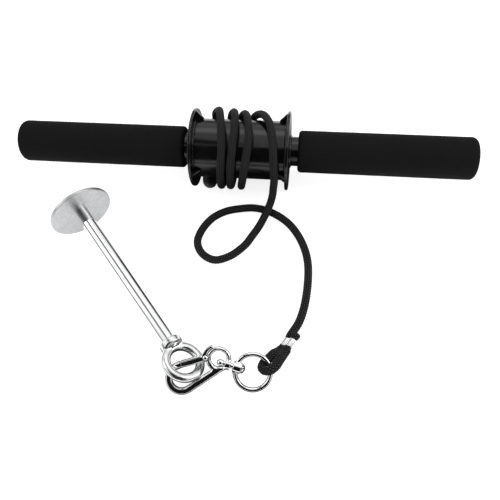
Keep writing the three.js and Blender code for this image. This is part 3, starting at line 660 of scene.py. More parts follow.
def painted(name: str) -> Sheet:
    """A new material's empty tree."""
    return Sheet(bpy.data.materials.new(name))


@dataclass(frozen=True)
class BlackEnamel:
    """Glossy black paint on steel, with a faint orange peel, a little dust and a few specks."""

    clean: Point = (0.0015, 0.0015, 0.0016)
    dusty: Point = (0.006, 0.006, 0.0062)
    roughness: float = 0.16
    dust_scale: float = 90.0
    peel_scale: float = 520.0
    peel_depth: float = 0.06 * MM
    speck_scale: float = 700.0
    speck_size: float = 0.07
    patch_scale: float = 45.0

    def material(self, name: str) -> bpy.types.Material:
        """Mixes the finish.

        Args:
            name: the material's name.

        Returns:
            The material.
        """
        s = painted(name)
        here = s.place()
        dust = s.noise(here, self.dust_scale, 4.0, 0.6)
        peel = s.noise(here, self.peel_scale, 1.0)
        patches = s.noise(here, self.patch_scale) > 0.55
        specks = (s.cells(here, self.speck_scale) < self.speck_size) * patches
        return s.finished(
            base_color=s.mixed((dust * 0.6 + specks * 0.4).clipped(), self.clean, self.dusty),
            roughness=dust.blend(self.roughness - 0.05, self.roughness + 0.1) + specks * 0.2,
            normal=s.bump(peel, self.peel_depth, 0.35),
            specular_ior_level=0.42,
        )


@dataclass(frozen=True)
class SoftFoam:
    """Black closed-cell foam: fine open pores on a matt skin, with shade painted into the pores."""

    dark: Point = (0.003, 0.003, 0.0032)
    pale: Point = (0.009, 0.009, 0.0094)
    pore_scale: float = 1500.0
    pore_depth: float = 0.22 * MM
    grain_scale: float = 3800.0
    cloud_scale: float = 55.0

    def material(self, name: str) -> bpy.types.Material:
        """Mixes the finish.

        Args:
            name: the material's name.

        Returns:
            The material.
        """
        s = painted(name)
        here = s.place()
        pores = s.cells(here, self.pore_scale)
        grain = s.noise(here, self.grain_scale, 3.0, 0.7)
        cloud = s.noise(here, self.cloud_scale, 3.0)
        height = (pores * 0.7 + grain * 0.5).clipped()
        return s.finished(
            # Painted shade: the colour darkens where the pores sink, mixed with a random cloudy tone.
            base_color=s.mixed((height * 0.6 + cloud * 0.4).clipped(), self.dark, self.pale),
            roughness=cloud.blend(0.86, 0.96),
            normal=s.bump(height, self.pore_depth, 0.7),
            specular_ior_level=0.1,
        )


@dataclass(frozen=True)
class BraidedYarn:
    """Black filament yarn in a two over two braid, read from the rope's own coordinates.

    The braid is that of braid_relief: a and b count the strands of each hand, and their
    whole parts say which lies on top. Its colour is pale on each strand's crown and near black
    in the grooves: a painted highlight and painted shade.
    """

    dark: Point = (0.0004, 0.0004, 0.0005)
    pale: Point = (0.062, 0.062, 0.064)
    yarns: float = 4.0
    fuzz_scale: float = 2600.0
    depth: float = 0.35 * MM

    def material(self, name: str) -> bpy.types.Material:
        """Mixes the finish.

        Args:
            name: the material's name.

        Returns:
            The material.
        """
        s = painted(name)
        lay = s.node("ShaderNodeUVMap", {"uv_map": "Lay"})
        turns = s.node("ShaderNodeSeparateXYZ", {}, {0: lay}, out=0) * float(BRAID_STRANDS)
        repeats = s.node("ShaderNodeSeparateXYZ", {}, {0: lay}, out=1) / BRAID_REPEAT
        a, b = turns + repeats, turns - repeats
        order = (a.floor() + b.floor()) % 4.0
        top = order < 1.5
        across = top.blend(b.fract(), a.fract())
        run = top.blend((order - 2.0 + a.fract()) * 0.5, (order + b.fract()) * 0.5)
        ridge = (across * math.pi).sine()
        strand = ridge * ((run * math.pi).sine() * 0.55 + 0.45)
        thread = (across * (FULL_TURN * self.yarns) + run * 2.0).sine() * 0.5 + 0.5
        fuzz = s.noise(s.place(), self.fuzz_scale, 3.0, 0.6)
        height = (strand * 0.7 + thread * ridge * 0.2 + fuzz * 0.1).clipped()
        # Painted highlight and shade: the colour is pale on the strands' crowns and near black in the grooves
        # between them.
        shade = ((strand - 0.5) * 2.4 * (thread * 0.5 + fuzz * 0.5 + 0.25)).clipped()
        return s.finished(
            base_color=s.mixed(shade, self.dark, self.pale),
            roughness=(0.5 - thread * 0.1 + fuzz * 0.1).clipped(),
            normal=s.bump(height, self.depth, 0.8),
            specular_ior_level=0.12,
        )


@dataclass(frozen=True)
class BrightPlate:
    """Polished plated metal with faint polishing marks and smudges.

    Attributes:
        colour: of the metal where it is clean.
        roughness: where it is smoothest.
        marks: how much the smudges dull it, and the marks bend its mirror.
    """

    colour: Point
    roughness: float
    marks: float
    smudged: float = 0.86
    smudge_scale: float = 120.0
    wave_scale: float = 240.0
    scratch_scale: float = 700.0
    scratch_stretch: Point = (1.0, 1.0, 14.0)
    scratch_turn: Point = (0.4, 0.7, 0.2)
    depth: float = 0.04 * MM

    def material(self, name: str) -> bpy.types.Material:
        """Mixes the finish.

        Args:
            name: the material's name.

        Returns:
            The material.
        """
        s = painted(name)
        here = s.place()
        smudge = s.noise(here, self.smudge_scale, 4.0, 0.6)
        wave = s.noise(here, self.wave_scale, 1.0)
        scratch = s.noise(s.stretched(self.scratch_stretch, self.scratch_turn), self.scratch_scale, 2.0)
        dull = tuple(self.smudged * c for c in self.colour)
        return s.finished(
            base_color=s.mixed(smudge, dull, self.colour),
            metallic=1.0,
            roughness=(smudge * self.marks + self.roughness).clipped(),
            normal=s.bump(wave * 0.8 + scratch * 0.2, self.depth, 6.25 * self.marks),
        )


@dataclass(frozen=True)
class BrushedSteel:
    """Zinc-grey steel with cloudy spangle and short brush marks."""

    dark: Point = (0.34, 0.345, 0.35)
    pale: Point = (0.6, 0.605, 0.61)
    cloud_scale: float = 70.0
    flake_scale: float = 420.0
    brush_scale: float = 900.0
    brush_stretch: Point = (1.0, 9.0, 1.0)
    brush_turn: Point = (0.3, 0.0, 0.6)
    depth: float = 0.08 * MM

    def material(self, name: str) -> bpy.types.Material:
        """Mixes the finish.

        Args:
            name: the material's name.

        Returns:
            The material.
        """
        s = painted(name)
        here = s.place()
        cloud = s.noise(here, self.cloud_scale, 5.0, 0.65)
        flakes = s.cells(here, self.flake_scale)
        brush = s.noise(s.stretched(self.brush_stretch, self.brush_turn), self.brush_scale, 3.0)
        shade = (cloud * 0.55 + flakes * 0.3 + brush * 0.25).clipped()
        return s.finished(
            base_color=s.mixed(shade, self.dark, self.pale),
            metallic=1.0,
            roughness=shade.blend(0.5, 0.34),
            normal=s.bump((brush * 0.6 + cloud * 0.4).clipped(), self.depth, 0.5),
        )


class Finish(Enum):
    """The finishes by the record's slot, each made once."""

    ENAMEL = ("black_paint", BlackEnamel())
    FOAM = ("foam", SoftFoam())
    ROPE = ("braided_rope", BraidedYarn())
    CHROME = ("chrome", BrightPlate((0.86, 0.865, 0.87), 0.035, 0.07))
    ZINC = ("chrome", BrightPlate((0.78, 0.785, 0.79), 0.16, 0.1))
    STEEL = ("brushed_steel", BrushedSteel())
    ALUMINIUM = ("aluminium", BrightPlate((0.8, 0.805, 0.81), 0.12, 0.12))
    SPRING = ("spring_steel", BrightPlate((0.5, 0.51, 0.52), 0.25, 0.12))

    def dress(self, made: bpy.types.Object) -> None:
        """Gives a piece this finish.

        Args:
            made: the piece.
        """
        slot, kind = self.value
        made.data.materials.clear()
        made.data.materials.append(bpy.data.materials.get(self.name) or kind.material(self.name))


def fitted(shell: Shell, name: str, finish: Finish, body: str, *nodes: str) -> bpy.types.Object:
    """Makes a piece, dresses it, and puts it on its body.

    Args:
        shell: the surface, in the frame's axes.
        name: the piece's name.
        finish: what it is made of.
        body: the CAD body that it rides on.
        *nodes: the CAD nodes that it stands for.

    Returns:
        The piece.
    """
    made = shell.piece(name)
    finish.dress(made)
    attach(made, body)
    if nodes:
        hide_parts(*nodes)
    log.info("%s: %d faces on %s", name, len(made.data.polygons), body)
    return made


# The bar


class Side(Enum):
    """The bar's two ends, by the sign of X."""

    LEFT = -1.0
    RIGHT = 1.0

    @property
    def word(self) -> str:
        """Its word in the names of pieces and nodes."""
        return self.name.lower()


@dataclass(frozen=True)
class Bar:
    """The tube with its foam grips, and the flanged drum with its gussets and rope lug.

    A bead's two numbers are its section's radius and how many ripples it has.
    """

    axis: Place = Place((0.0, 85.939 * MM, 34.0 * MM))
    half_length: float = 199.5 * MM
    tube_radius: float = 12.7 * MM
    tube_wall: float = 2.0 * MM
    grip_length: float = 150.0 * MM
    grip_radius: float = 18.1 * MM
    grip_end: float = 4.0 * MM
    grip_slack: float = 0.3 * MM
    grip_wave: float = 0.0022
    drum_radius: float = 25.5 * MM
    flange_radius: float = 34.0 * MM
    flange_inner: float = 39.4 * MM
    flange_thickness: float = 2.6 * MM
    tube_bead: tuple[float, int] = (1.4 * MM, 22)
    drum_bead: tuple[float, int] = (1.1 * MM, 36)
    gusset_angles: tuple[float, ...] = (60.0, 180.0, 300.0)
    gusset_length: float = 6.5 * MM
    gusset_thickness: float = 3.0 * MM
    lug_x: float = -27.0 * MM
    lug_angle: float = -212.0
    lug_half_width: float = 6.3 * MM
    lug_foot: float = 18.0 * MM
    lug_height: float = 9.5 * MM
    lug_back: float = 9.8 * MM
    lug_thickness: float = 6.0 * MM

    def build(self) -> None:
        """Builds and dresses every piece of the bar."""
        self._tubes()
        for side in Side:
            self._flange(side)
            self._grip(side)
            for number, angle in enumerate(self.gusset_angles, start=1):
                self._gusset(side, number, angle)
        self._lug()

    def _mirrored(self, shell: Shell, side: Side) -> Shell:
        """The surface on the right side, or mirrored to the left one."""
        return Shell(shell.points * [side.value, 1, 1], shell.quads, shell.triangles).at(self.axis)

    def _about_axis(self, x: Array, out: Array, side: Array, degrees: float) -> Array:
        """Turns points about X.

        Args:
            x: their X.
            out: their Y.
            side: their Z.
            degrees: the angle.

        Returns:
            The points, one row each.
        """
        turn = math.radians(degrees)
        cosine, sine = math.cos(turn), math.sin(turn)
        return np.stack([x, out * cosine - side * sine, out * sine + side * cosine], -1)

    def _tubes(self) -> None:
        """Builds the core tube and the drum's larger tube: box sections turned about the bar."""
        end, radius = self.half_length - self.grip_end - self.grip_slack, self.tube_radius
        core = turned(washer(-end, end, radius - self.tube_wall, radius, 0.3 * MM), 96)
        fitted(core.at(self.axis), "core_tube_steel", Finish.ENAMEL, "roller", "core_tube")
        end, radius = self.flange_inner, self.drum_radius
        drum = turned(washer(-end, end, radius - self.tube_wall, radius), 160)
        fitted(drum.at(self.axis), "drum_tube", Finish.ENAMEL, "roller", "drum_barrel")

    def _bead(self, radius: float, x: float, size: float, ripples: int) -> Shell:
        """A weld bead round the bar: a small round section that swells with each ripple.

        Args:
            radius: how far from the bar's axis it runs.
            x: where along the bar.
            size: its section's radius.
            ripples: how many it has in its whole round.

        Returns:
            The closed surface.
        """
        phase = round_turn(6 * ripples) * ripples
        swell = 0.92 + 0.1 * np.abs(np.sin(phase / 2)) + 0.03 * np.sin(phase / 7)
        bead = hoop(radius, spokes(round_turn(12))[:, 1:] * size, swell)
        bead.points[:, 0] += x
        return bead

    def _flange(self, side: Side) -> None:
        """Builds a disc with eased edges, and the beads that weld it to tube and drum.

        Args:
            side: which end of the bar.
        """
        name, inner = f"flange_{side.word}", self.flange_inner
        outer = inner + self.flange_thickness
        disc = turned(washer(inner, outer, self.tube_radius + 0.1 * MM, self.flange_radius, 0.7 * MM), 160)
        fitted(self._mirrored(disc, side), f"{name}_disc", Finish.ENAMEL, "roller", name)
        on_tube = self._bead(self.tube_radius + 0.5 * MM, outer + 0.4 * MM, *self.tube_bead)
        on_drum = self._bead(self.drum_radius + 0.2 * MM, inner - 0.3 * MM, *self.drum_bead)
        fitted(self._mirrored(on_tube.plus(on_drum), side), f"{name}_weld", Finish.ENAMEL, "roller")

    def _grip(self, side: Side) -> None:
        """Builds a foam sleeve, closed at its outer end.

        The profile is turned about the bar, with its long outer line cut into short ones. The
        skin then sinks by a few hundredths of a millimetre, in waves, as moulded foam does:
        r (1 - grip_wave (1 + a third of three sines of place and turn)).

        Args:
            side: which end of the bar.
        """
        bore, radius, end = self.tube_radius + self.grip_slack, self.grip_radius, self.half_length
        inner, floor = end - self.grip_length, end - self.grip_end
        ring = [(floor, 0), (floor, bore), (inner, bore), (inner, radius), (end, radius), (end, 0)]
        profile = eased(ring, [0, 0, 0.6 * MM, 3 * MM, 5 * MM, 0], 10)
        long = int(np.argmax(np.diff(profile[:, 0])))
        fill = np.linspace(profile[long], profile[long + 1], 90)[1:-1]
        sleeve = turned(np.concatenate([profile[: long + 1], fill, profile[long + 1 :]]), 144)
        x, y, z = sleeve.points.T
        turn = np.arctan2(z, y)
        wave = np.sin(x * 310 + 2 * turn) + np.sin(x * 190 - 3 * turn + 1) + np.sin(x * 520 + 5 * turn + 2)
        outside = np.hypot(y, z) > bore + 1 * MM
        sleeve.points[:, 1:] *= 1 - np.where(outside, self.grip_wave * (1 + wave / 3), 0)[:, None]
        name = f"grip_{side.word}"
        made = fitted(self._mirrored(sleeve, side), f"{name}_foam", Finish.FOAM, "roller", name)

    def _gusset(self, side: Side, number: int, angle: float) -> None:
        """Builds a triangular web between drum and flange.

        Args:
            side: which end of the bar.
            number: which of the side's gussets.
            angle: its place round the drum, in degrees.
        """
        heel, toe = self.flange_inner + 0.2 * MM, self.flange_inner - self.gusset_length
        foot, lip, top = self.drum_radius - 0.8 * MM, self.drum_radius + 1.7 * MM, self.flange_radius - 1 * MM
        outline = [(toe, foot), (heel, foot), (heel, top), (heel - 0.8 * MM, top), (toe, lip)]
        web = prism(np.array(outline), self.gusset_thickness)
        web.points = self._about_axis(*web.points.T, angle)
        name = f"gusset_{side.word}_{number}"
        made = fitted(self._mirrored(web, side), f"{name}_web", Finish.ENAMEL, "roller", name)
        soften(made, 0.4 * MM)

    def _lug(self) -> None:
        """Builds the rounded plate that holds the rope's end, standing on the drum."""
        half, foot = self.lug_half_width, self.lug_foot
        top = math.sqrt(self.drum_radius**2 - self.lug_back**2) + self.lug_height
        arc = np.linspace(0, math.pi, 25)
        head = np.stack([half * np.cos(arc), top - half + half * np.sin(arc)], -1)
        plate = prism(np.concatenate([[(-half, foot), (half, foot)], head]), self.lug_thickness)
        across, up, thick = plate.points.T
        plate.points = self._about_axis(across + self.lug_x, self.lug_back - thick, up, self.lug_angle)
        made = fitted(plate.at(self.axis), "rope_lug", Finish.ENAMEL, "roller", "rope_anchor")
        soften(made, 0.9 * MM)


def soften(made: bpy.types.Object, width: float, crisp: float = 50.0) -> None:
    """Rounds a plate's edges with a bevel, and applies it.

    Args:
        made: the plate.
        width: the bevel's width.
        crisp: edges that still turn by more than this many degrees stay sharp.
    """
    bevel = made.modifiers.new("edges", "BEVEL")
    bevel.width, bevel.segments, bevel.limit_method = width, 3, "ANGLE"
    graph = bpy.context.evaluated_depsgraph_get()
    done = bpy.data.meshes.new_from_object(made.evaluated_get(graph))
    made.modifiers.clear()
    made.data = done
    done.set_sharp_from_angle(angle=math.radians(crisp))


# The rope


def looked_up(at: Array, along: Array, rows: Array) -> Array:
    """Each column of rows read off at these distances along."""
    return np.stack([np.interp(at, along, column) for column in rows.T], -1)


def resampled(path: Array, step: float) -> tuple[Array, Array]:
    """A path with even spacing, and each point's distance along it.

    Args:
        path: the points, one row each.
        step: the spacing to come near to.

    Returns:
        The new points and their distances.
    """
    along = distances(path)
    even = np.linspace(0, along[-1], int(round(along[-1] / step)) + 1)
    return looked_up(even, along, path), even


def threaded(knots: Array, count: int) -> Array:
    """A smooth curve through points, with the spacing of the roots of their distances.

    Between knots 1 and 2 it is the cubic whose slopes there are those of the parabolas
    through knots 0, 1, 2 and 1, 2, 3 in that spacing.

    Args:
        knots: the points, one row each.
        count: samples for each stretch between two knots.

    Returns:
        The curve's points, first and last knot included.
    """
    all_knots = np.concatenate([2 * knots[:1] - knots[1:2], knots, 2 * knots[-1:] - knots[-2:-1]])
    gap = np.sqrt(np.linalg.norm(np.diff(all_knots, axis=0), axis=1))[:, None]
    p0, p1, p2, p3 = (all_knots[k : len(all_knots) - 3 + k] for k in range(4))
    d0, d1, d2 = gap[:-2], gap[1:-1], gap[2:]
    leave = ((p1 - p0) / d0 - (p2 - p0) / (d0 + d1) + (p2 - p1) / d1) * d1
    arrive = ((p2 - p1) / d1 - (p3 - p1) / (d1 + d2) + (p3 - p2) / d2) * d1
    t = (np.arange(count) / count)[None, :, None]
    curve = cubic(t, *(value[:, None] for value in (p1, p2, leave, arrive)))
    return np.concatenate([curve.reshape(-1, 3), knots[-1:]])


def carried(path: Array, first_out: Array) -> Array:
    """Directions square to a path that don't spin about it.

    Upright directions are turned back by the running sum of their own spin about the
    path, and all by the angle that makes the first one first_out.

    Args:
        path: the points, nowhere upright.
        first_out: the direction at the start.

    Returns:
        One unit direction for each point.
    """
    way = ways_along(path)
    up = unit(np.array([0.0, 0.0, 1.0]) - way[:, 2:] * way)
    side = np.cross(way, up)
    spin = (np.diff(up, axis=0) * (side[1:] + side[:-1]) / 2).sum(1)
    start = math.atan2(float(first_out @ side[0]), float(first_out @ up[0]))
    turn = start - np.concatenate([[0], np.cumsum(spin)])[:, None]
    return np.cos(turn) * up + np.sin(turn) * side


def braid_relief(turns: Array, along: Array) -> Array:
    """The relief of a two over two braid.

    With a = strands x turns + along / repeat and b = strands x turns - along / repeat,
    the whole parts of a and b add up to which strand is on top, and the height is
    sin(pi x across the strand) times a crown over its float.

    Args:
        turns: places round the rope, in turns.
        along: distances along it.

    Returns:
        The height from 0 to 1 at each place.
    """
    a, b = BRAID_STRANDS * turns + along / BRAID_REPEAT, BRAID_STRANDS * turns - along / BRAID_REPEAT
    order = np.mod(np.floor(a) + np.floor(b), 4)
    top = order < 1.5
    across = np.where(top, np.mod(a, 1), np.mod(b, 1))
    run = np.where(top, order + np.mod(b, 1), order - 2 + np.mod(a, 1)) / 2
    return np.sin(np.pi * across) * (0.55 + 0.45 * np.sin(np.pi * run))

@dataclass(frozen=True)
class Rope:
    """The braided rope: its turns on the drum, its free stretch, its eye and its cut end.

    Attributes:
        winding: where the rope lies on the drum, in rows of (degrees, x, slack).
        free: points that it passes on the table.
        hold: the middle of its eye's bend, round the ring's wire.
        eye: points of that bend, as (towards the ferrule, across the eye).
    """

    bar: Bar = Bar()
    radius: float = 3.45 * MM
    braid_depth: float = 0.5 * MM
    clearance: float = 0.3 * MM
    sides: int = 60
    winding: tuple[Point, ...] = (
        (-122, -0.027, 0.002), (-90, -0.027, 0.0008), (-50, -0.027, 0.0024), (0, -0.027, 0.0032),
        (20, -0.026, 0.0033), (43, -0.021, 0.0033), (90, -0.0155, 0.0033), (129, -0.0132, 0.0033),
        (157, -0.014, 0.0033), (216, -0.0165, 0.003), (270, -0.017, 0.0008), (320, -0.0155, 0.0022),
        (360, -0.0135, 0.0025), (380, -0.0115, 0.0024), (403, -0.0078, 0.0023), (430, -0.005, 0.0023),
        (466, -0.0038, 0.0026), (517, -0.0056, 0.0032), (576, -0.0084, 0.003), (630, -0.0085, 0.0008),
        (680, -0.0066, 0.0014), (720, -0.004, 0.0014), (740, -0.002, 0.0012), (763, 0.0018, 0.0011),
        (790, 0.0055, 0.0012), (826, 0.0086, 0.0018), (850, 0.0082, 0.0024), (877, 0.006, 0.0031),
        (936, 0.001, 0.003), (990, 0.0005, 0.0008), (1040, 0.0025, 0.0012), (1080, 0.0055, 0.0012),
        (1100, 0.009, 0.0012), (1123, 0.0152, 0.0013), (1150, 0.022, 0.0017), (1170, 0.026, 0.0022),
        (1209, 0.0296, 0.003), (1240, 0.0306, 0.0033),
    )
    free: tuple[Point, ...] = (
        (0.0305, 0.050939, 0.0275), (0.0298, 0.048339, 0.02), (0.0282, 0.044239, 0.0142),
        (0.0256, 0.038139, 0.0099), (0.0224, 0.031339, 0.0063), (0.0192, 0.024939, 0.0041),
        (0.0146, 0.016439, 0.0035), (0.0091, 0.006539, 0.0034), (-0.0026, -0.005061, 0.0034),
        (-0.0148, -0.009761, 0.0034), (-0.0239, -0.006461, 0.0034), (-0.0298, -0.000061, 0.0034),
        (-0.0324, 0.007939, 0.0034), (-0.0314, 0.015339, 0.0034), (-0.0279, 0.024239, 0.0034),
        (-0.0213, 0.033239, 0.0034), (-0.0111, 0.040039, 0.0034), (0.0005, 0.043439, 0.0034),
        (0.0123, 0.045039, 0.0034), (0.024, 0.043139, 0.0034), (0.036, 0.037439, 0.0034),
        (0.0462, 0.029239, 0.0034), (0.0547, 0.017539, 0.0034), (0.0604, 0.005039, 0.0034),
        (0.0633, -0.006361, 0.0034), (0.0643, -0.018561, 0.0034), (0.0639, -0.035061, 0.0034),
        (0.062, -0.050061, 0.0034), (0.0588, -0.061561, 0.0034),
    )
    ferrule: Place = Place(
        origin=(0.0516, -0.079861, 0.0059188),
        along=(0.4817537, 0.8763067, 0.0),
        across=(0.5863636, -0.3223561, 0.7431448),
    )
    ferrule_half: float = 3.6 * MM
    ferrule_wall: float = 0.75 * MM
    lobe_x: float = 3.45 * MM
    lobe_half_width: float = 3.6 * MM
    lobe_half_height: float = 2.9 * MM
    pinch: float = 0.17
    pinch_lead: float = 3.2 * MM
    pinch_reach: float = 13.0 * MM
    hold: Point = (0.0388, -0.100061, 0.0105036)
    eye_lean: float = 30.0
    eye: tuple[tuple[float, float], ...] = (
        (0.0115, -0.0039), (0.006, -0.0046), (0.0, -0.0056), (-0.0042, -0.0042), (-0.0058, 0.0),
        (-0.0042, 0.0042), (0.0, 0.0056), (0.006, 0.0046), (0.0115, 0.0039),
    )
    eye_lead: float = 3.5 * MM
    eye_length: float = 75.0 * MM
    eye_spread: float = 0.36
    spread_span: tuple[float, float] = (-2.0 * MM, 5.0 * MM)
    spread_lead: float = 4.0 * MM
    tail: float = 5.5 * MM
    flare: float = 0.07
    flare_length: float = 3.5 * MM
    blunting: float = 0.35
    blunt_length: float = 0.7 * MM
    winding_samples: int = 1700
    knot_samples: int = 40
    winding_step: float = 0.48 * MM
    free_step: float = 0.3 * MM

    def _on_drum(self) -> tuple[Array, Array]:
        """The rope's line on the drum and its outward directions.

        At angle t it lies at (x(t), R(t) cos t, R(t) sin t). x, and the slack by which R
        stands off the drum, are smooth cubics through the winding's rows of (degrees, x,
        slack), and both ends run straight for one diameter.

        Returns:
            The points and their directions, one row each.
        """
        table = np.array(self.winding)
        place, rows = table[:, 0], np.arange(len(table))
        low, high = np.maximum(rows - 1, 0), np.minimum(rows + 1, rows[-1])
        slope = (table[high, 1:] - table[low, 1:]) / (place[high] - place[low])[:, None]
        degrees = np.linspace(place[0], place[-1], self.winding_samples)
        k = np.clip(np.searchsorted(place, degrees, side="right") - 1, 0, len(place) - 2)
        span = (place[k + 1] - place[k])[:, None]
        t = (degrees - place[k])[:, None] / span
        lay = cubic(t, table[k, 1:], table[k + 1, 1:], slope[k] * span, slope[k + 1] * span)
        outs = spokes(np.radians(degrees))
        line = outs * (self.bar.drum_radius + self.clearance + self.radius + lay[:, 1:])
        line[:, 0] = lay[:, 0]
        line += self.bar.axis.origin
        straight = np.linspace(0, 2 * self.radius, 16)[1:, None]
        before = line[0] - straight[::-1] * unit(line[1] - line[0])
        after = line[-1] + straight * unit(line[-1] - line[-2])
        outs = np.pad(outs, ((len(straight), len(straight)), (0, 0)), mode="edge")
        return np.concatenate([before, line, after]), outs

    def _by_ferrule(self, along: float, lobe: float) -> Array:
        """A point a distance along the ferrule's axis, in its low (-1) or high (1) lobe."""
        return self.ferrule.put(np.array([along, lobe * self.lobe_x, 0.0]))

    def _eye_axes(self) -> tuple[Array, Array]:
        """The eye's own directions.

        Returns:
            The direction towards the ferrule, and the one across the eye.
        """
        toward = unit(np.array(self.ferrule.origin) - self.hold)
        level = unit(np.array([toward[1], -toward[0], 0.0]))
        lean = math.radians(self.eye_lean)
        return toward, level * math.cos(lean) + np.cross(level, toward) * math.sin(lean)

    def _off_drum(self, start: Array, way: Array) -> Array:
        """The rope's line from the drum over the table, through the ferrule, round the eye and back.

        Args:
            start: where it leaves the drum.
            way: its direction there.

        Returns:
            The points, one row each.
        """
        face = self.ferrule_half + self.clearance
        first = [start + way * self.clearance, start + way * (self.clearance + self.radius)]
        last = [self._by_ferrule(face + 2 * self.radius, -1), self._by_ferrule(face, -1)]
        free = threaded(np.array([*first, *self.free, *last]), self.knot_samples)
        toward, across = self._eye_axes()
        bend = [np.array(self.hold) + toward * a + across * b for a, b in self.eye]
        square = -face - self.eye_lead
        ring = [self._by_ferrule(-face, -1), self._by_ferrule(square, -1), *bend]
        ring += [self._by_ferrule(square, 1), self._by_ferrule(-face, 1)]
        eye = threaded(np.array(ring), self.knot_samples)
        end = self._by_ferrule(face + self.tail, 1)
        return np.concatenate([start[None], free, eye, end[None]])

    def _girth(self, path: Array, along: Array, outs: Array) -> Array:
        """The rope's radius at each point and each side.

        It is pinched in the ferrule and flares a little at its cut end. In the eye its
        section is an oval, 1 + s wide across the eye and 1 - s / 2 thick, so that both legs
        lie against each other: r / hypot(cos u / (1 + s), sin u / (1 - s / 2)).

        Args:
            path: the points, one row each.
            along: their distances.
            outs: their outward directions.

        Returns:
            One row for each point, and one column for each side.
        """
        rel, left = path - np.array(self.ferrule.origin), along[-1] - along
        depth, half = rel @ np.array(self.ferrule.along), self.ferrule_half
        near = np.linalg.norm(rel, axis=1) < self.pinch_reach
        ease = ramp(np.abs(depth), half, half + self.pinch_lead)
        pinch = np.where(near, self.pinch * (1 - ease * ease * (3 - 2 * ease)), 0)
        flare = self.flare * ramp(left, self.flare_length, 0)
        blunting = self.blunting * ramp(left, self.blunt_length, 0) ** 2
        toward, across = self._eye_axes()
        rise = ramp((path - self.hold) @ toward, *self.spread_span)
        rise = rise * ramp(-depth, half, half + self.spread_lead)
        spread = self.eye_spread * np.where(left < self.eye_length, rise * (2 - rise), 0)[:, None]
        way = ways_along(path)
        flat = np.cross(np.cross(toward, across)[None], way)
        angle = np.arctan2((flat * np.cross(way, outs)).sum(1), (flat * outs).sum(1))
        turn = round_turn(self.sides) - angle[:, None]
        oval = np.hypot(np.cos(turn) / (1 + spread), np.sin(turn) / (1 - spread / 2))
        return self.radius * (1 - pinch + flare - blunting)[:, None] / oval

    def _strand(
        self, path: Array, outs: Array, along: Array, girth: Array | float, name: str, *nodes: str
    ) -> bpy.types.Object:
        """One piece of rope: rings of the girth with the braid's relief sunk into them.

        Args:
            path: the rings' centres.
            outs: their outward directions.
            along: their distances along the whole rope.
            girth: the rope's radius, or one for each ring and side.
            name: the piece's name.
            *nodes: the CAD nodes that it stands for.

        Returns:
            The piece.
        """
        relief = braid_relief(np.arange(self.sides) / self.sides, along[:, None])
        radii = girth - self.braid_depth * (1 - relief)
        return fitted(tube(path, outs, radii, along), name, Finish.ROPE, "roller", *nodes)

    def build(self) -> None:
        """Builds the rope in two pieces that meet where it leaves the drum."""
        line, outs = self._on_drum()
        wound, along = resampled(line, self.winding_step)
        outs = unit(looked_up(along, distances(line), outs))
        turns = self._strand(wound, outs, along, self.radius, "rope_turns", "rope_winding")
        off_drum = self._off_drum(wound[-1], unit(wound[-1] - wound[-2]))
        loose, run = resampled(off_drum, self.free_step)
        loose_outs = carried(loose, outs[-1])
        girth = self._girth(loose, run, loose_outs)
        free = self._strand(loose, loose_outs, run + along[-1], girth, "rope_loose",
                            "rope_free_stretch", "rope_eye", "rope_tail")
        sleeve = self._sleeve()
        log.info("rope: %.3f m on the drum, %.3f m off it", along[-1], run[-1])

    def _sleeve(self) -> bpy.types.Object:
        """The crimped sleeve: two oval lobes that flow together, with turned-in lips.

        Returns:
            The piece.
        """

        def distance(p: Array) -> Array:
            """The distance to two ovals side by side, cut at both ends, with a shallow hollow at each mouth.

            Args:
                p: points of any array shape.

            Returns:
                One distance for each point.
            """
            x, y, z = np.moveaxis(p, -1, 0)
            wide, high, half = self.lobe_half_width, self.lobe_half_height, self.ferrule_half
            bulge = 1 - 0.05 * (x / half) ** 2
            lobes = [(np.hypot((y - c) / wide, z / high) - bulge) * high for c in (-self.lobe_x, self.lobe_x)]
            outer = merged(*lobes, 0.5 * MM)
            body = rounded_both(outer, np.abs(x) - half, 0.5 * MM)
            mouth = np.maximum(outer + self.ferrule_wall, half - 0.7 * MM - np.abs(x))
            return carved(body, mouth, 0.3 * MM)

        shell = skin(distance, (-5 * MM, -8.5 * MM, -4.5 * MM), (5 * MM, 8.5 * MM, 4.5 * MM), 0.16 * MM)
        return fitted(shell.at(self.ferrule), "ferrule_sleeve", Finish.ALUMINIUM, "roller", "ferrule")


# The swivel and the snap hook


@dataclass(frozen=True)
class Bow:
    """The snap hook's ring, as the swivel's stem meets it.

    Attributes:
        hole: the radius of its hole.
        wall: its thickness round the hole.
        gap: how far it stands off the swivel's collar.
        offset: how far its centre lies beside the swivel's axis.
    """

    hole: float = 6.0 * MM
    wall: float = 3.5 * MM
    gap: float = 2.4 * MM
    offset: float = 2.2 * MM

    @property
    def outer(self) -> float:
        """The radius of its outside."""
        return self.hole + self.wall


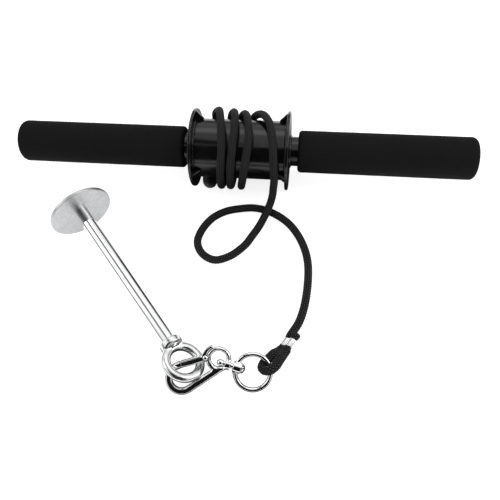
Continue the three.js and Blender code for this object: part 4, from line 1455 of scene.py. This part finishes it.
@dataclass(frozen=True)
class Swivel:
    """The wire ring with its bored collar, and the headed stem that turns in it.

    The ring lies in its XY plane, with its centre at the origin and the collar about X.
    """

    place: Place = Place(
        origin=(0.0268298, -0.1057408, 0.0085),
        along=(-0.9699799, 0.1551015, 0.1873033),
        across=(-0.2264934, -0.8566115, -0.4635919),
    )
    bow: Bow = Bow()
    radius: float = 13.4 * MM
    wire: float = 1.8 * MM
    collar: tuple[float, float] = (9.0 * MM, 15.4 * MM)
    collar_radius: float = 4.3 * MM
    bore: float = 2.2 * MM
    stem_radius: float = 1.9 * MM
    head_radius: float = 3.8 * MM
    head_rise: float = 2.6 * MM
    ball_radius: float = 2.75 * MM
    slack: float = 0.3 * MM

    def build(self) -> None:
        """Builds the ring and the stem."""
        span, height = self.radius + self.wire + 1 * MM, 5.2 * MM
        ring = skin(self._ring_distance, (-span, -span, -height), (span + 1 * MM, span, height), 0.26 * MM)
        fitted(ring.at(self.place), "ring_with_collar", Finish.CHROME, "ring", "swivel_ring")
        stem = turned(self._stem_profile(), 64)
        fitted(stem.at(self.place), "headed_stem", Finish.CHROME, "hook", "swivel_stem")

    def _ring_distance(self, p: Array) -> Array:
        """The distance to a round wire bent round Z, with an eased barrel about X on it, less its bore.

        Args:
            p: points of any array shape.

        Returns:
            One distance for each point.
        """
        x, y, z = np.moveaxis(p, -1, 0)
        round_x, (foot, top) = np.hypot(y, z), self.collar
        wire = np.hypot(np.hypot(x, y) - self.radius, z) - self.wire
        barrel = rounded_both(round_x - self.collar_radius, slab_distance(x, foot, top), 0.7 * MM)
        bore = np.maximum(round_x - self.bore, slab_distance(x, foot - 2 * MM, top + 2 * MM))
        return carved(merged(wire, barrel, 0.9 * MM), bore, 0.35 * MM)

    def _stem_profile(self) -> Array:
        """A domed head, the shaft, and a ball inside the bow's hole, close to its wall.

        Returns:
            Rows of (along the swivel's axis, radius), with both ends on the axis.
        """
        base, head, ball = self.collar[0] - self.slack, self.head_radius, self.ball_radius
        cap = dome(head, self.head_rise, 14) + [base - self.head_rise, 0]
        rim = [(base - 0.25 * MM, head - 0.02 * MM), (base, head - 0.25 * MM)]
        shaft = [(base, self.stem_radius + 0.2 * MM), (base + 0.2 * MM, self.stem_radius)]
        from_bow = math.sqrt((self.bow.hole - ball - self.slack) ** 2 - self.bow.offset**2)
        middle = self.collar[1] + self.bow.gap + self.bow.outer - from_bow
        swing = np.linspace(math.pi - math.asin(self.stem_radius / ball), 0, 20)
        knob = np.stack([middle + ball * np.cos(swing), ball * np.sin(swing)], -1)
        return np.concatenate([cap[:-1], rim, shaft, knob])


@dataclass(frozen=True)
class SnapHook:
    """The hook's forged body, its sprung gate, and the rivet and spring of the gate.

    The hook lies in its XY plane, with the bow's centre at the origin. A pair of lengths is
    a span, but for lever_wall, thin and thick, and rivet_head, its radius and its rise.
    """

    swivel: Swivel = Swivel()
    thickness: float = 4.6 * MM
    flat_half: float = 1.5 * MM
    bevel: float = 38.0
    boss_radius: float = 3.8 * MM
    pivot: tuple[float, float] = (9.8 * MM, -1.8 * MM)
    spine_angle: float = 50.0
    spine_distance: float = 12.8 * MM
    spine_reach: float = 23.5 * MM
    spine_root: float = 4.0 * MM
    spine_width: float = 5.4 * MM
    nose_radius: float = 9.7 * MM
    nose_end: float = 50.0
    nose_tip: float = 3.6 * MM
    web_span: tuple[float, float] = (-2.6 * MM, 1.4 * MM)
    web_half: float = 1.6 * MM
    gate_width: float = 5.2 * MM
    gate_thickness: float = 5.6 * MM
    gap: float = 0.35 * MM
    slack: float = 0.3 * MM
    slot_half: float = 1.8 * MM
    slot_span: tuple[float, float] = (-3.9 * MM, 6.5 * MM)
    slot_depth: float = 3.9 * MM
    heel_radius: float = 2.9 * MM
    lever_angles: tuple[float, float] = (-4.0, 47.0)
    lever_wall: tuple[float, float] = (1.4 * MM, 3.0 * MM)
    lug: tuple[float, float] = (-1.5 * MM, -0.3 * MM)
    lug_radius: float = 1.9 * MM
    rivet_radius: float = 0.8 * MM
    rivet_head: tuple[float, float] = (1.95 * MM, 0.9 * MM)
    spring_radius: float = 1.3 * MM
    spring_wire: float = 0.2 * MM
    spring_turns: float = 1.25
    spring_pitch: float = 0.88 * MM

    @property
    def place(self) -> Place:
        """The bow's centre, past the swivel's collar and beside its axis, with Y turned over.

        Returns:
            The hook's place.
        """
        swivel, bow = self.swivel.place, self.swivel.bow
        away = self.swivel.collar[1] + bow.gap + bow.outer
        origin = swivel.put(np.array([away, -bow.offset, 0.0]))
        return Place(tuple(origin), swivel.along, tuple(-value for value in swivel.across))

    def _way(self) -> Array:
        """The spine's direction, from the bow to the nose."""
        turn = math.radians(self.spine_angle)
        return np.array([math.cos(turn), -math.sin(turn)])

    def _side(self) -> Array:
        """The direction from the spine to the gate."""
        way = self._way()
        return np.array([-way[1], way[0]])

    def _foot(self) -> Array:
        """The point of the spine's line that is square to the pivot."""
        return np.array(self.pivot) - self.spine_distance * self._side()

    def _nose_centre(self) -> Array:
        """The centre of the nose's arc."""
        return self._foot() + self.spine_reach * self._way() + self.nose_radius * self._side()

    def _nose_tip(self) -> tuple[Array, Array]:
        """The end of the nose, a straight stretch past its arc.

        Returns:
            Where the nose ends, and the direction in which it ends.
        """
        turn = math.radians(self.nose_end)
        out, on = np.array([math.cos(turn), math.sin(turn)]), np.array([-math.sin(turn), math.cos(turn)])
        return self._nose_centre() + self.nose_radius * out + self.nose_tip * on, on

    def _gate_line(self) -> tuple[float, float]:
        """How far the nose's tip lies from the gate's pivot, and at which angle."""
        u, v = self._nose_tip()[0] - self.pivot
        return math.hypot(u, v), math.atan2(v, u)

    def _line_distance(self, x: Array, y: Array) -> Array:
        """How far points of the hook's plane lie from its bar's middle line: spine, arc and tip.

        Args:
            x: the points' X.
            y: their Y.

        Returns:
            One distance for each point.
        """

        def to_segment(start: Array, way: Array, length: float) -> Array:
            """The distance to a straight stretch.

            Args:
                start: where it starts.
                way: its direction.
                length: how long it is.

            Returns:
                One distance for each point.
            """
            u, v = x - start[0], y - start[1]
            along = np.clip(u * way[0] + v * way[1], 0, length)
            return np.hypot(u - along * way[0], v - along * way[1])

        way, centre, root = self._way(), self._nose_centre(), self.spine_root
        spine = to_segment(self._foot() - root * way, way, root + self.spine_reach)
        tip, on = self._nose_tip()
        nose = to_segment(tip - self.nose_tip * on, on, self.nose_tip)
        u, v = x - centre[0], y - centre[1]
        angle = np.degrees(np.arctan2(v, u))
        on_arc = (angle > -90 - self.spine_angle) & (angle < self.nose_end)
        arc = np.where(on_arc, np.abs(np.hypot(u, v) - self.nose_radius), 1.0)
        return np.minimum(np.minimum(spine, nose), arc)

    def _bevelled_bar(self, off: Array, z: Array, wide: float, thick: float) -> Array:
        """The distance to a forged section: two flats joined to its sides by slopes.

        It is the larger of the distances to a side, and to the slope that starts at
        flat_half on each flat and falls by the bevel's angle, with all edges eased.

        Args:
            off: how far each point lies from the middle line, in the plane.
            z: its height over the plane.
            wide: half the section's width.
            thick: half its thickness.

        Returns:
            One distance for each point.
        """
        turn = math.radians(self.bevel)
        off, high = np.abs(off), np.abs(z) - thick
        slope = (off - self.flat_half) * math.sin(turn) + high * math.cos(turn)
        return rounded_both(rounded_both(slope, high, 0.35 * MM), off - wide, 0.5 * MM)

    def _limbs_distance(self, x: Array, y: Array, z: Array) -> Array:
        """The distance to boss, bar and web, flowing together.

        The bar ends square at the nose's tip, and gives way there to the gate's swing.

        Args:
            x: the points' X.
            y: their Y.
            z: their Z.

        Returns:
            One distance for each point.
        """
        bow, (tip, on), (reach, _) = self.swivel.bow, self._nose_tip(), self._gate_line()
        boss_span = slab_distance(x, -bow.outer, -bow.hole + 1 * MM)
        boss = rounded_both(np.hypot(y + bow.offset, z) - self.boss_radius, boss_span, 0.6 * MM)
        bar = self._bevelled_bar(self._line_distance(x, y), z, self.spine_width / 2, self.thickness / 2)
        u, v = x - self.pivot[0], y - self.pivot[1]
        near_tip = np.hypot(x - tip[0], y - tip[1]) < 5 * MM
        end = np.where(near_tip, (x - tip[0]) * on[0] + (y - tip[1]) * on[1], -1.0)
        swing = np.where(near_tip, np.hypot(u, v) - reach, 1.0)
        bar = carved(np.maximum(bar, end), swing, 0.3 * MM)
        way, side = self._way(), self._side()
        along, across = u * way[0] + v * way[1], u * side[0] + v * side[1]
        web = rounded_both(slab_distance(along, *self.web_span), np.abs(z) - self.web_half, 0.5 * MM)
        web = np.maximum(web, slab_distance(across, -self.spine_distance, 0.0))
        return merged(merged(boss, bar, 1 * MM), web, 1.2 * MM)

    def _body_distance(self, p: Array) -> Array:
        """The distance to the bow ring and the limbs, less the gate's recess, plus the gate's lug.

        Args:
            p: points of any array shape.

        Returns:
            One distance for each point.
        """
        x, y, z = np.moveaxis(p, -1, 0)
        bow, from_bow = self.swivel.bow, np.hypot(x, y)
        wide, thick = bow.wall / 2, self.thickness / 2
        ring = (np.hypot((from_bow - bow.outer + wide) / wide, z / thick) - 1) * min(wide, thick)
        limbs = carved(self._limbs_distance(x, y, z), from_bow - bow.hole, 0.4 * MM)
        body = carved(merged(ring, limbs, 1.1 * MM), from_bow - bow.hole + 0.35 * MM, 0.2 * MM)
        round_pivot, layer = np.hypot(x - self.pivot[0], y - self.pivot[1]), slab_distance(z, *self.lug)
        recess = np.maximum(round_pivot - self.heel_radius - self.slack, -layer)
        lug = np.maximum(round_pivot - self.lug_radius, layer)
        return np.minimum(carved(body, recess, 0.2 * MM), lug)

    def _gate_distance(self, p: Array) -> Array:
        """The distance to the gate: a bevelled beam, its heel and its thumb lever, less slot and bore.

        Args:
            p: points of any array shape.

        Returns:
            One distance for each point.
        """
        x, y, z = np.moveaxis(p, -1, 0)
        u, v = x - self.pivot[0], y - self.pivot[1]
        reach, turn = self._gate_line()
        along, across = u * math.cos(turn) + v * math.sin(turn), v * math.cos(turn) - u * math.sin(turn)
        round_pivot, half = np.hypot(u, v), self.gate_thickness / 2
        beam = self._bevelled_bar(across, z, self.gate_width / 2, half)
        beam = np.maximum(np.maximum(beam, -along), round_pivot - reach + self.gap)
        heel = rounded_both(round_pivot - self.heel_radius, np.abs(z) - half, 0.4 * MM)
        from_bow, angle = np.hypot(x, y), np.degrees(np.arctan2(y, x))
        (low, high), (thin, thick) = self.lever_angles, self.lever_wall
        inner = self.swivel.bow.outer + self.gap
        outer = inner + thin + ramp(angle, high, low) * (thick - thin)
        arc = np.radians(slab_distance(angle, low, high)) * inner
        plate = np.maximum(slab_distance(from_bow, inner, outer), arc)
        lever = rounded_both(plate, np.abs(z) - half, 0.4 * MM)
        body = merged(merged(beam, heel, 0.6 * MM), lever, 0.8 * MM)
        slot = np.maximum(slab_distance(along, *self.slot_span), slab_distance(across, -self.slot_depth, 0.0))
        hollow = np.minimum(np.minimum(round_pivot - self.lug_radius - self.slack, from_bow - inner), slot)
        body = carved(body, np.maximum(hollow, np.abs(z) - self.slot_half), 0.2 * MM)
        return carved(body, round_pivot - self.rivet_radius - self.slack, 0.1 * MM)

    def build(self) -> None:
        """Builds body, gate, rivet and spring."""
        low, high = (-12 * MM, -36 * MM, -4.6 * MM), (37 * MM, 12 * MM, 4.6 * MM)
        body = skin(self._body_distance, low, high, 0.24 * MM)
        fitted(body.at(self.place), "forged_body", Finish.CHROME, "hook", "hook_body")
        low, high = (-2 * MM, -17 * MM, -3.6 * MM), (30 * MM, 13 * MM, 3.6 * MM)
        gate = skin(self._gate_distance, low, high, 0.2 * MM)
        fitted(gate.at(self.place), "sprung_gate", Finish.CHROME, "gate", "hook_gate")
        self._rivet()
        self._spring()

    def _about_pivot(self, shell: Shell) -> Shell:
        """Stands a surface about X on the pivot, square to the hook's plane.

        Args:
            shell: the surface.

        Returns:
            The surface in the frame's axes.
        """
        x, y, z = shell.points.T
        shell.points = np.stack([self.pivot[0] - z, self.pivot[1] + y, x], -1)
        return shell.at(self.place)

    def _rivet(self) -> None:
        """Builds a rivet with a domed head on each side of the gate."""
        face, (radius, rise) = self.gate_thickness / 2 + 0.1 * MM, self.rivet_head
        head = dome(radius, rise, 10) * [-1, 1] + [face + rise, 0]
        shaft = [(face, self.rivet_radius), (-face, self.rivet_radius)]
        profile = np.concatenate([head, shaft, (head * [-1, 1])[::-1]])
        fitted(self._about_pivot(turned(profile, 48)), "gate_rivet", Finish.CHROME, "hook", "gate_pin")

    def _spring(self) -> None:
        """Builds a coil about the rivet: (start + pitch t, r cos t, r sin t) over its turns t."""
        turns = np.linspace(0, self.spring_turns, 60)
        outs = spokes(turns * FULL_TURN)
        line = outs * self.spring_radius
        line[:, 0] = self.spring_wire + self.spring_pitch * turns
        coil = tube(line, outs, np.full((len(turns), 10), self.spring_wire))
        fitted(self._about_pivot(coil), "torsion_spring", Finish.SPRING, "hook", "gate_spring")


# The loading pin


@dataclass(frozen=True)
class LoadingPin:
    """The eye nut, the rod and the round plate, on one axis: X, with the eye's centre at zero."""

    place: Place = Place(
        origin=(-0.0260324, -0.103439, 0.0123635),
        along=(0.6572425, -0.7481234, -0.0913436),
        across=(0.6357314, 0.6153976, -0.4659736),
    )
    eye_radius: float = 13.5 * MM
    eye_wire: float = 3.5 * MM
    nut_top: float = -20.5 * MM
    nut_radius: float = 9.0 * MM
    nut_height: float = 6.0 * MM
    neck_radius: float = 6.5 * MM
    bore_floor: float = -12.5 * MM
    rod_radius: float = 6.0 * MM
    rod_foot: float = -159.0 * MM
    stud_radius: float = 4.75 * MM
    stud_length: float = 7.7 * MM
    slack: float = 0.1 * MM
    plate_radius: float = 27.0 * MM
    plate_thickness: float = 3.0 * MM

    def build(self) -> None:
        """Builds the eye nut, the rod with its stud, and the plate."""
        low = (self.nut_top - 1.2 * MM, -18.5 * MM, -10.5 * MM)
        eye = skin(self._eye_distance, low, (18.5 * MM, 18.5 * MM, 10.5 * MM), 0.4 * MM)
        fitted(eye.at(self.place), "forged_eye_nut", Finish.ZINC, "loading_pin", "eye_nut")
        foot, head = self.rod_foot, self.rod_foot - self.plate_thickness
        shoulder, tip = self.nut_top - self.slack, self.nut_top + self.stud_length
        ring = [(head, 0), (head, self.rod_radius), (shoulder, self.rod_radius)]
        ring += [(shoulder, self.stud_radius), (tip, self.stud_radius), (tip, 0)]
        rod = turned(eased(ring, [0, 0.4 * MM, 0.3 * MM, 0, 0.8 * MM, 0]), 96)
        fitted(rod.at(self.place), "polished_rod", Finish.CHROME, "loading_pin", "pin_rod")
        plate = turned(washer(head, foot, self.rod_radius + self.slack / 2, self.plate_radius, 0.6 * MM), 160)
        fitted(plate.at(self.place), "stamped_plate", Finish.STEEL, "loading_pin", "load_plate")

    def _eye_distance(self, p: Array) -> Array:
        """The distance to a torus round Z, with a neck and a rounded collar about X, less the bore.

        Args:
            p: points of any array shape.

        Returns:
            One distance for each point.
        """
        x, y, z = np.moveaxis(p, -1, 0)
        round_x, top = np.hypot(y, z), self.nut_top
        eye = np.hypot(np.hypot(x, y) - self.eye_radius, z) - self.eye_wire
        nut_span = slab_distance(x, top, top + self.nut_height)
        collar = rounded_both(round_x - self.nut_radius, nut_span, 1.9 * MM)
        neck = np.maximum(round_x - self.neck_radius, slab_distance(x, top + 2 * MM, -self.eye_radius))
        bore_span = slab_distance(x, top - 2 * MM, self.bore_floor)
        bore = np.maximum(round_x - self.stud_radius - self.slack, bore_span)
        solid = merged(eye, merged(collar, neck, 1.4 * MM), 1.8 * MM)
        return carved(solid, bore, 0.4 * MM)


# The studio


@dataclass(frozen=True)
class Studio:
    """A pale floor, black cards, soft lamps, a plain sky, and the camera at the photograph's angle.

    Attributes:
        eye: where the camera is.
        heading: the way that it looks, in degrees round Z from Y.
        pitch: how far down it looks, in degrees.
        roll: how far it leans, in degrees.
        rod: the loading pin's place, along which the strip lies.
        painted_shadow_spots: where a shadow is painted into the floor that mirrors see: middle, core radius
            and rim radius.
        mirror_light: the floor's glow in mirrors.
        table_glow: its glow to the camera.
        table_white: its colour to the camera.
    """

    eye: Point = (0.0602094, -0.2350725, 0.4216005)
    heading: float = 11.06813
    pitch: float = 60.0
    roll: float = -6.26401
    lens: float = 40.793
    rod: Place = LoadingPin().place
    floor_size: float = 6.0
    floor_thickness: float = 2.0 * MM
    floor_gap: float = 0.05 * MM
    painted_shadow_spots: tuple[tuple[Point, float, float], ...] = (
        ((0.0, 0.085, 0.0), 0.06, 0.12),
        ((-0.018, -0.112, 0.0), 0.028, 0.062),
        ((0.03, -0.106, 0.0), 0.018, 0.045),
    )
    mirror_light: float = 0.45
    table_glow: float = 0.78
    table_white: float = 0.55
    flag_width: float = 0.7
    flag_top: float = 0.09
    flag_foot: float = 0.8
    flag_gap: float = 0.03
    strip_middle: Point = (-0.2344, 0.0711, 0.4856)
    strip_length: float = 0.5
    strip_width: float = 0.11
    sky_low: float = 0.1
    sky_high: float = 0.4
    sky_light: float = 1.0
    sky_dark: float = 0.02

    def build(self) -> None:
        """Makes camera, floor, cards, lamps and sky."""
        self._camera()
        self._floor()
        self._cards()
        self._lamp("back_softbox", (0.1, 0.6, 1.0), (0.9, 0.4), 1.25)
        self._lamp("left_softbox", (-0.95, -0.1, 0.7), (0.5, 0.5), 1.2)
        self._lamp("right_strip", (0.9, 0.1, 0.5), (0.2, 0.9), 2.6)
        self._sky()
        bpy.context.scene.view_settings.view_transform = "Standard"

    def _view(self) -> Matrix:
        """The camera's place.

        Returns:
            A matrix whose columns are the camera's right, its up, its back and its eye.
        """
        turns = ((self.heading, "Z"), (90 - self.pitch, "X"), (self.roll, "Z"))
        view = Matrix.Translation(self.eye)
        for degrees, axis in turns:
            view = view @ Matrix.Rotation(math.radians(degrees), 4, axis)
        return view

    def _camera(self) -> None:
        """Makes the photograph's camera: a 36 mm sensor on a square picture."""
        data = bpy.data.cameras.new("camera")
        data.lens, data.sensor_width, data.clip_start, data.clip_end = self.lens, 36.0, 0.01, 20.0
        made = linked("camera", data)
        made.matrix_world = self._view()
        bpy.context.scene.camera = made

    def _floor(self) -> None:
        """Makes a wide sheet just under the table's height.

        To the camera it glows white but for the object's soft shadow. In mirrors and to light it is pale too,
        but a shadow is painted into its glow and colour under the drum and close to the hook: away from the
        middle of each of painted_shadow_spots the glow grows evenly from nothing at one distance to all of it
        at another.
        """
        half = self.floor_size / 2
        corners = np.array([(-half, -half), (half, -half), (half, half), (-half, half)])
        floor = prism(corners, self.floor_thickness)
        floor.points[:, 2] -= self.floor_thickness / 2 + self.floor_gap
        made = floor.piece("floor")
        s = painted("white_table")
        lit = 1.0
        # Painted shadow: near each spot the floor's glow and colour, as light and mirrors see them, fade
        # towards dark.
        for spot, core, rim in self.painted_shadow_spots:
            inputs = {0: s.place(), 1: spot}
            away = s.node("ShaderNodeVectorMath", {"operation": "DISTANCE"}, inputs, out="Value")
            lit = ((away - core) / (rim - core)).clipped() * lit
        seen = s.camera_ray()
        s.finished(
            base_color=s.grey(seen.blend(lit * 0.9 + 0.05, self.table_white)),
            roughness=0.9,
            specular_ior_level=0.0,
            emission_color=s.grey(seen.blend(lit * self.mirror_light, self.table_glow)),
            emission_strength=1.0,
        )
        made.data.materials.append(s.owner)

    def _cards(self) -> None:
        """Makes black cards that only mirrors see: one behind the camera, and a strip along the rod."""
        s = painted("black_card")
        s.finished(base_color=(0.004, 0.004, 0.004, 1.0), roughness=0.95, specular_ior_level=0.0)
        right, up, back, eye = np.array(self._view())[:3].T
        rows = (-self.flag_foot, self.flag_top, self.flag_width / 2)
        self._card("flag", eye + self.flag_gap * back, (up, right), rows, s.owner)
        middle, along = np.array(self.strip_middle), np.array(self.rod.along)
        aside = unit(np.cross(middle - self.rod.origin, along))
        rows = (-self.strip_length / 2, self.strip_length / 2, self.strip_width / 2)
        self._card("strip", middle, (along, aside), rows, s.owner)

    def _card(
        self,
        name: str,
        middle: Array,
        ways: tuple[Array, Array],
        corners: tuple[float, float, float],
        material: bpy.types.Material,
    ) -> None:
        """Makes a flat card.

        Args:
            name: the card's name.
            middle: a point on it.
            ways: its two directions.
            corners: its ends along the first direction, and its half width along the second.
            material: what it is made of.
        """
        low, high, half = corners
        rows, sides = np.array([low, low, high, high]), np.array([-half, half, half, -half])
        points = middle + rows[:, None] * ways[0] + sides[:, None] * ways[1]
        made = Shell(points, np.array([[0, 1, 2, 3]])).piece(name)
        made.visible_camera = made.visible_diffuse = made.visible_shadow = False
        made.data.materials.append(material)

    def _lamp(self, name: str, place: Point, size: tuple[float, float], power: float) -> None:
        """Makes a rectangular soft lamp that looks at the object's middle.

        Args:
            name: the lamp's name.
            place: where it is.
            size: its width and height.
            power: in watts.
        """
        data = bpy.data.lights.new(name, "AREA")
        data.shape, data.size, data.size_y, data.energy = "RECTANGLE", size[0], size[1], power
        made = linked(name, data)
        made.location = place
        made.rotation_euler = (-Vector(place)).to_track_quat("-Z", "Y").to_euler()

    def _sky(self) -> None:
        """Makes a sky that is white to the camera; for light and mirrors pale, but dark near the horizon."""
        s = Sheet(bpy.data.worlds.new("sky"))
        bpy.context.scene.world = s.owner
        way = s.node("ShaderNodeTexCoord", out="Generated")
        height = s.node("ShaderNodeSeparateXYZ", {}, {0: way}, out=2)
        lit = ((height - self.sky_low) / (self.sky_high - self.sky_low)).clipped()
        tone = s.camera_ray().blend(lit * self.sky_light + self.sky_dark, 1.0)
        surface = s.node("ShaderNodeBackground", {}, {"Color": s.grey(tone)})
        s.node("ShaderNodeOutputWorld", {}, {"Surface": surface}, out=None)


def main() -> None:
    """Builds the studio, then each sub-assembly in turn."""
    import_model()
    Studio().build()
    for part in (Rope(), Bar(), Swivel(), SnapHook(), LoadingPin()):
        log.info("building %s", type(part).__name__)
        part.build()


if __name__ == "__main__":
    main()
